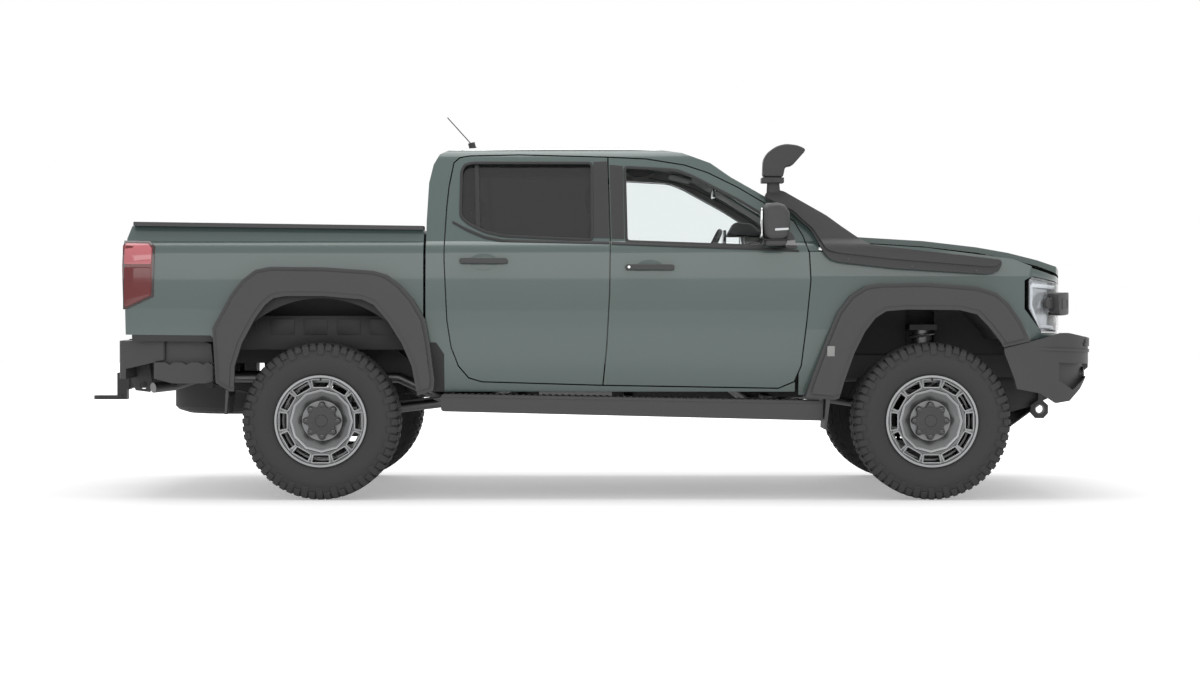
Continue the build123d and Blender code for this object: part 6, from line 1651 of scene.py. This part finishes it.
def build_cabin():
    """Steering wheel, dashboard fittings, belts, grab handles, visors, mirror, lamp and floor mat."""
    turn = WHEEL_AXIS.to_track_quat("Z", "Y").to_matrix().to_4x4()
    place = Matrix.Translation(WHEEL_SEAT) @ turn
    rim = turned([(0.178 + 0.015 * math.cos(a), 0.015 * math.sin(a))
        for a in (math.tau * i / 12 for i in range(12))], (0, 0, 0), axis="Z", steps=64)
    boss = turned([(0.0005, 0.030), (0.052, 0.026), (0.064, 0.014), (0.066, -0.012), (0.048, -0.034),
        (0.0005, -0.036)], (0, 0, 0), axis="Z", steps=40)
    spokes = []
    for angle in (0, 180, 250, 290):
        way = math.radians(angle)
        across, out = Vector((-math.sin(way), math.cos(way), 0)), Vector((math.cos(way), math.sin(way), 0))
        corners = [out * 0.045 - across * 0.022, out * 0.176 - across * 0.013, out * 0.176 + across * 0.013,
            out * 0.045 + across * 0.022]
        arm = loop_of([(c.x, c.y) for c in corners], lambda a, b: (a, b, -0.010))
        spokes.append(push(arm, (0, 0, 0.018)))
    wheel = joined([rim, boss] + spokes)
    wheel.data.transform(place)
    settle(wheel, "steering_rim", "chassis", "cabin_plastic", bevel=0.003, smooth=45.0)
    screen = slab(rounded(rect(-0.125, 0.125, 1.345, 1.470), 0.012), bed(2196), bed(2212), axis="X")
    settle(screen, "centre_screen", "chassis", "gloss_black", bevel=0.003)
    for index, y in enumerate((-0.66, -0.17, 0.17, 0.66)):
        fins = row_of(brick((bed(2190), y - 0.055, 1.262), (bed(2199.5), y + 0.055, 1.266)), 6, (0, 0, 0.012))
        ring = slab(rounded(rect(y - 0.066, y + 0.066, 1.250, 1.340), 0.014), bed(2192), bed(2200), axis="X")
        settle(joined([fins, ring]), f"air_vent_{index}", "chassis", "gloss_black", bevel=0.0015)
    hood = slab(at(bed, [(2200, 1425), (2240, 1500), (2330, 1490), (2400, 1425)]), -0.540, -0.220)
    settle(hood, "dial_hood", "chassis", "cabin_plastic", bevel=0.010)
    lever = round_bar((bed(2010), 0, 1.055), (bed(2004), 0, 1.150), 0.0075)
    knob = round_bar((bed(2004), 0, 1.140), (bed(2000), 0, 1.190), 0.021, radius_end=0.024)
    settle(joined([lever, knob]), "gear_lever", "chassis", "gloss_black", bevel=0.005)
    box = slab(at(bed, [(1790, 1055), (1780, 1130), (1900, 1140), (1935, 1058)]), -0.082, 0.082)
    settle(box, "arm_rest", "chassis", "cabin_plastic", bevel=0.012)
    for name, x in (("front", 1530), ("rear", 700)):
        belt = bent_bar([(bed(x), -0.705, 1.70), (bed(x + 22), -0.735, 1.45), (bed(x + 34), -0.770, 1.10),
            (bed(x + 30), -0.775, 0.80)], 0.0035)
        for vertex in belt.data.vertices:
            if vertex.co.x > bed(x + 20):
                vertex.co.x += BELT_SHIFT
        anchor = brick((bed(x - 22), -0.712, 1.680), (bed(x + 22), -0.696, 1.735))
        pair(joined([belt, anchor]), f"{name}_belt", "chassis", "seal_rubber", bevel=0.001)
    for name, x in (("front", 1640), ("rear", 1000)):
        grab = bent_bar([(bed(x), -0.615, 1.846), (bed(x + 10), -0.615, 1.812), (bed(x + 90), -0.618, 1.798),
            (bed(x + 170), -0.615, 1.812), (bed(x + 180), -0.615, 1.846)], 0.0085)
        pair(grab, f"{name}_grab", "chassis", "cabin_lining")
    visor = slab(rounded([(bed(1900), -0.56), (bed(1900), -0.13), (bed(2030), -0.13), (bed(2030), -0.56)],
        0.03), 1.794, 1.806, axis="Z")
    visor.data.transform(Matrix.Translation((bed(1900), 0, 1.80)) @ Matrix.Rotation(math.radians(14), 4,
        "Y") @ Matrix.Translation((-bed(1900), 0, -1.80)))
    pair(visor, "sun_visor", "chassis", "cabin_lining", bevel=0.005)
    glass = slab(rounded(rect(-0.115, 0.115, 1.655, 1.715), 0.02), bed(2135), bed(2152), axis="X")
    stem = round_bar((bed(2150), 0, 1.690), (bed(2215), 0, 1.722), 0.007)
    settle(joined([glass, stem]), "inner_mirror", "chassis", "gloss_black", bevel=0.004)
    lamp = slab(rounded([(bed(1560), -0.07), (bed(1560), 0.07), (bed(1700), 0.07), (bed(1700), -0.07)], 0.02),
        1.838, 1.875, axis="Z")
    settle(lamp, "cabin_lamp", "chassis", "cabin_lining", bevel=0.004)
    mat = brick((bed(880), -0.70, 0.7305), (bed(2440), 0.70, 0.7345))
    settle(mat, "floor_mat", "chassis", "cabin_plastic")


# Operators and panel


class PICKUP_OT_stage(bpy.types.Operator):
    """Set up the studio floor, soft light and the camera"""
    bl_idname = "pickup.stage"
    bl_label = "Studio"

    def execute(self, context):
        build_stage(context.scene.pickup_sizes)
        return {"FINISHED"}


class PICKUP_OT_finishes(bpy.types.Operator):
    """Make the materials and paint the frame's own pieces"""
    bl_idname = "pickup.finishes"
    bl_label = "Finishes"

    def execute(self, context):
        make_materials(context.scene.pickup_colours)
        paint_nodes()
        return {"FINISHED"}


class PICKUP_OT_wheels(bpy.types.Operator):
    """Model the tyres, the rims' bright edges, nuts and hub caps"""
    bl_idname = "pickup.wheels"
    bl_label = "Wheels"

    def execute(self, context):
        build_wheels(context.scene.pickup_sizes)
        return {"FINISHED"}


class PICKUP_OT_doors(bpy.types.Operator):
    """Model the door handles, seals, pillar covers and cards"""
    bl_idname = "pickup.doors"
    bl_label = "Door trim"

    def execute(self, context):
        build_doors(context.scene.pickup_sizes)
        return {"FINISHED"}


class PICKUP_OT_mirrors(bpy.types.Operator):
    """Model the side mirrors"""
    bl_idname = "pickup.mirrors"
    bl_label = "Mirrors"

    def execute(self, context):
        build_mirrors()
        return {"FINISHED"}


class PICKUP_OT_snorkel(bpy.types.Operator):
    """Model the raised air intake"""
    bl_idname = "pickup.snorkel"
    bl_label = "Snorkel"

    def execute(self, context):
        build_snorkel()
        return {"FINISHED"}


class PICKUP_OT_headlamps(bpy.types.Operator):
    """Model the headlamps and the painted panels round them"""
    bl_idname = "pickup.headlamps"
    bl_label = "Headlamps"

    def execute(self, context):
        build_headlamps()
        build_nose_panels()
        return {"FINISHED"}


class PICKUP_OT_front(bpy.types.Operator):
    """Model the grille's slats and the bumper's trim"""
    bl_idname = "pickup.front"
    bl_label = "Grille and bumper"

    def execute(self, context):
        build_front()
        return {"FINISHED"}


class PICKUP_OT_top(bpy.types.Operator):
    """Model the screen's band, wipers, roof strips and engine cover"""
    bl_idname = "pickup.top"
    bl_label = "Screen and roof"

    def execute(self, context):
        build_top()
        return {"FINISHED"}


class PICKUP_OT_bed(bpy.types.Operator):
    """Model the cargo bed's ribs, the tailgate's trim and the tail lamps' lenses with a painted reflection
    band
    """
    bl_idname = "pickup.bed"
    bl_label = "Cargo bed and rear"

    def execute(self, context):
        build_bed()
        return {"FINISHED"}


class PICKUP_OT_sides(bpy.types.Operator):
    """Model the side steps' tread, the marker plates and the mudflaps' clamps"""
    bl_idname = "pickup.sides"
    bl_label = "Side steps and flares"

    def execute(self, context):
        build_sides()
        return {"FINISHED"}


class PICKUP_OT_underbody(bpy.types.Operator):
    """Model the coil springs, boots, calipers and clamps"""
    bl_idname = "pickup.underbody"
    bl_label = "Underbody"

    def execute(self, context):
        build_underbody()
        return {"FINISHED"}


class PICKUP_OT_seats(bpy.types.Operator):
    """Model the padded seats"""
    bl_idname = "pickup.seats"
    bl_label = "Seats"

    def execute(self, context):
        build_seats(context.scene.pickup_sizes)
        return {"FINISHED"}


class PICKUP_OT_cabin(bpy.types.Operator):
    """Model the steering wheel, the dashboard's fittings, belts and visors"""
    bl_idname = "pickup.cabin"
    bl_label = "Cabin"

    def execute(self, context):
        build_cabin()
        return {"FINISHED"}


OPERATORS = (
    PICKUP_OT_stage, PICKUP_OT_finishes, PICKUP_OT_wheels, PICKUP_OT_doors, PICKUP_OT_mirrors,
    PICKUP_OT_snorkel, PICKUP_OT_headlamps, PICKUP_OT_front, PICKUP_OT_top, PICKUP_OT_bed, PICKUP_OT_sides,
    PICKUP_OT_underbody, PICKUP_OT_seats, PICKUP_OT_cabin,)


class PICKUP_PT_panel(bpy.types.Panel):
    """The pickup's build steps and sizes"""
    bl_idname = "PICKUP_PT_panel"
    bl_label = "Off-road pickup"
    bl_space_type = "VIEW_3D"
    bl_region_type = "UI"
    bl_category = "Pickup"

    def draw(self, context):
        for operator in OPERATORS:
            self.layout.operator(operator.bl_idname)
        for group in (context.scene.pickup_sizes, context.scene.pickup_colours):
            for key in group.bl_rna.properties.keys():
                if key not in ("rna_type", "name"):
                    self.layout.prop(group, key)


CLASSES = (PickupSizes, PickupColours, *OPERATORS, PICKUP_PT_panel)


def register():
    for item in CLASSES:
        bpy.utils.register_class(item)
    bpy.types.Scene.pickup_sizes = bpy.props.PointerProperty(type=PickupSizes)
    bpy.types.Scene.pickup_colours = bpy.props.PointerProperty(type=PickupColours)


def unregister():
    del bpy.types.Scene.pickup_colours
    del bpy.types.Scene.pickup_sizes
    for item in reversed(CLASSES):
        bpy.utils.unregister_class(item)


def main():
    register()
    for operator in OPERATORS:
        group, name = operator.bl_idname.split(".")
        getattr(getattr(bpy.ops, group), name)()


if __name__ == "__main__":
    main()
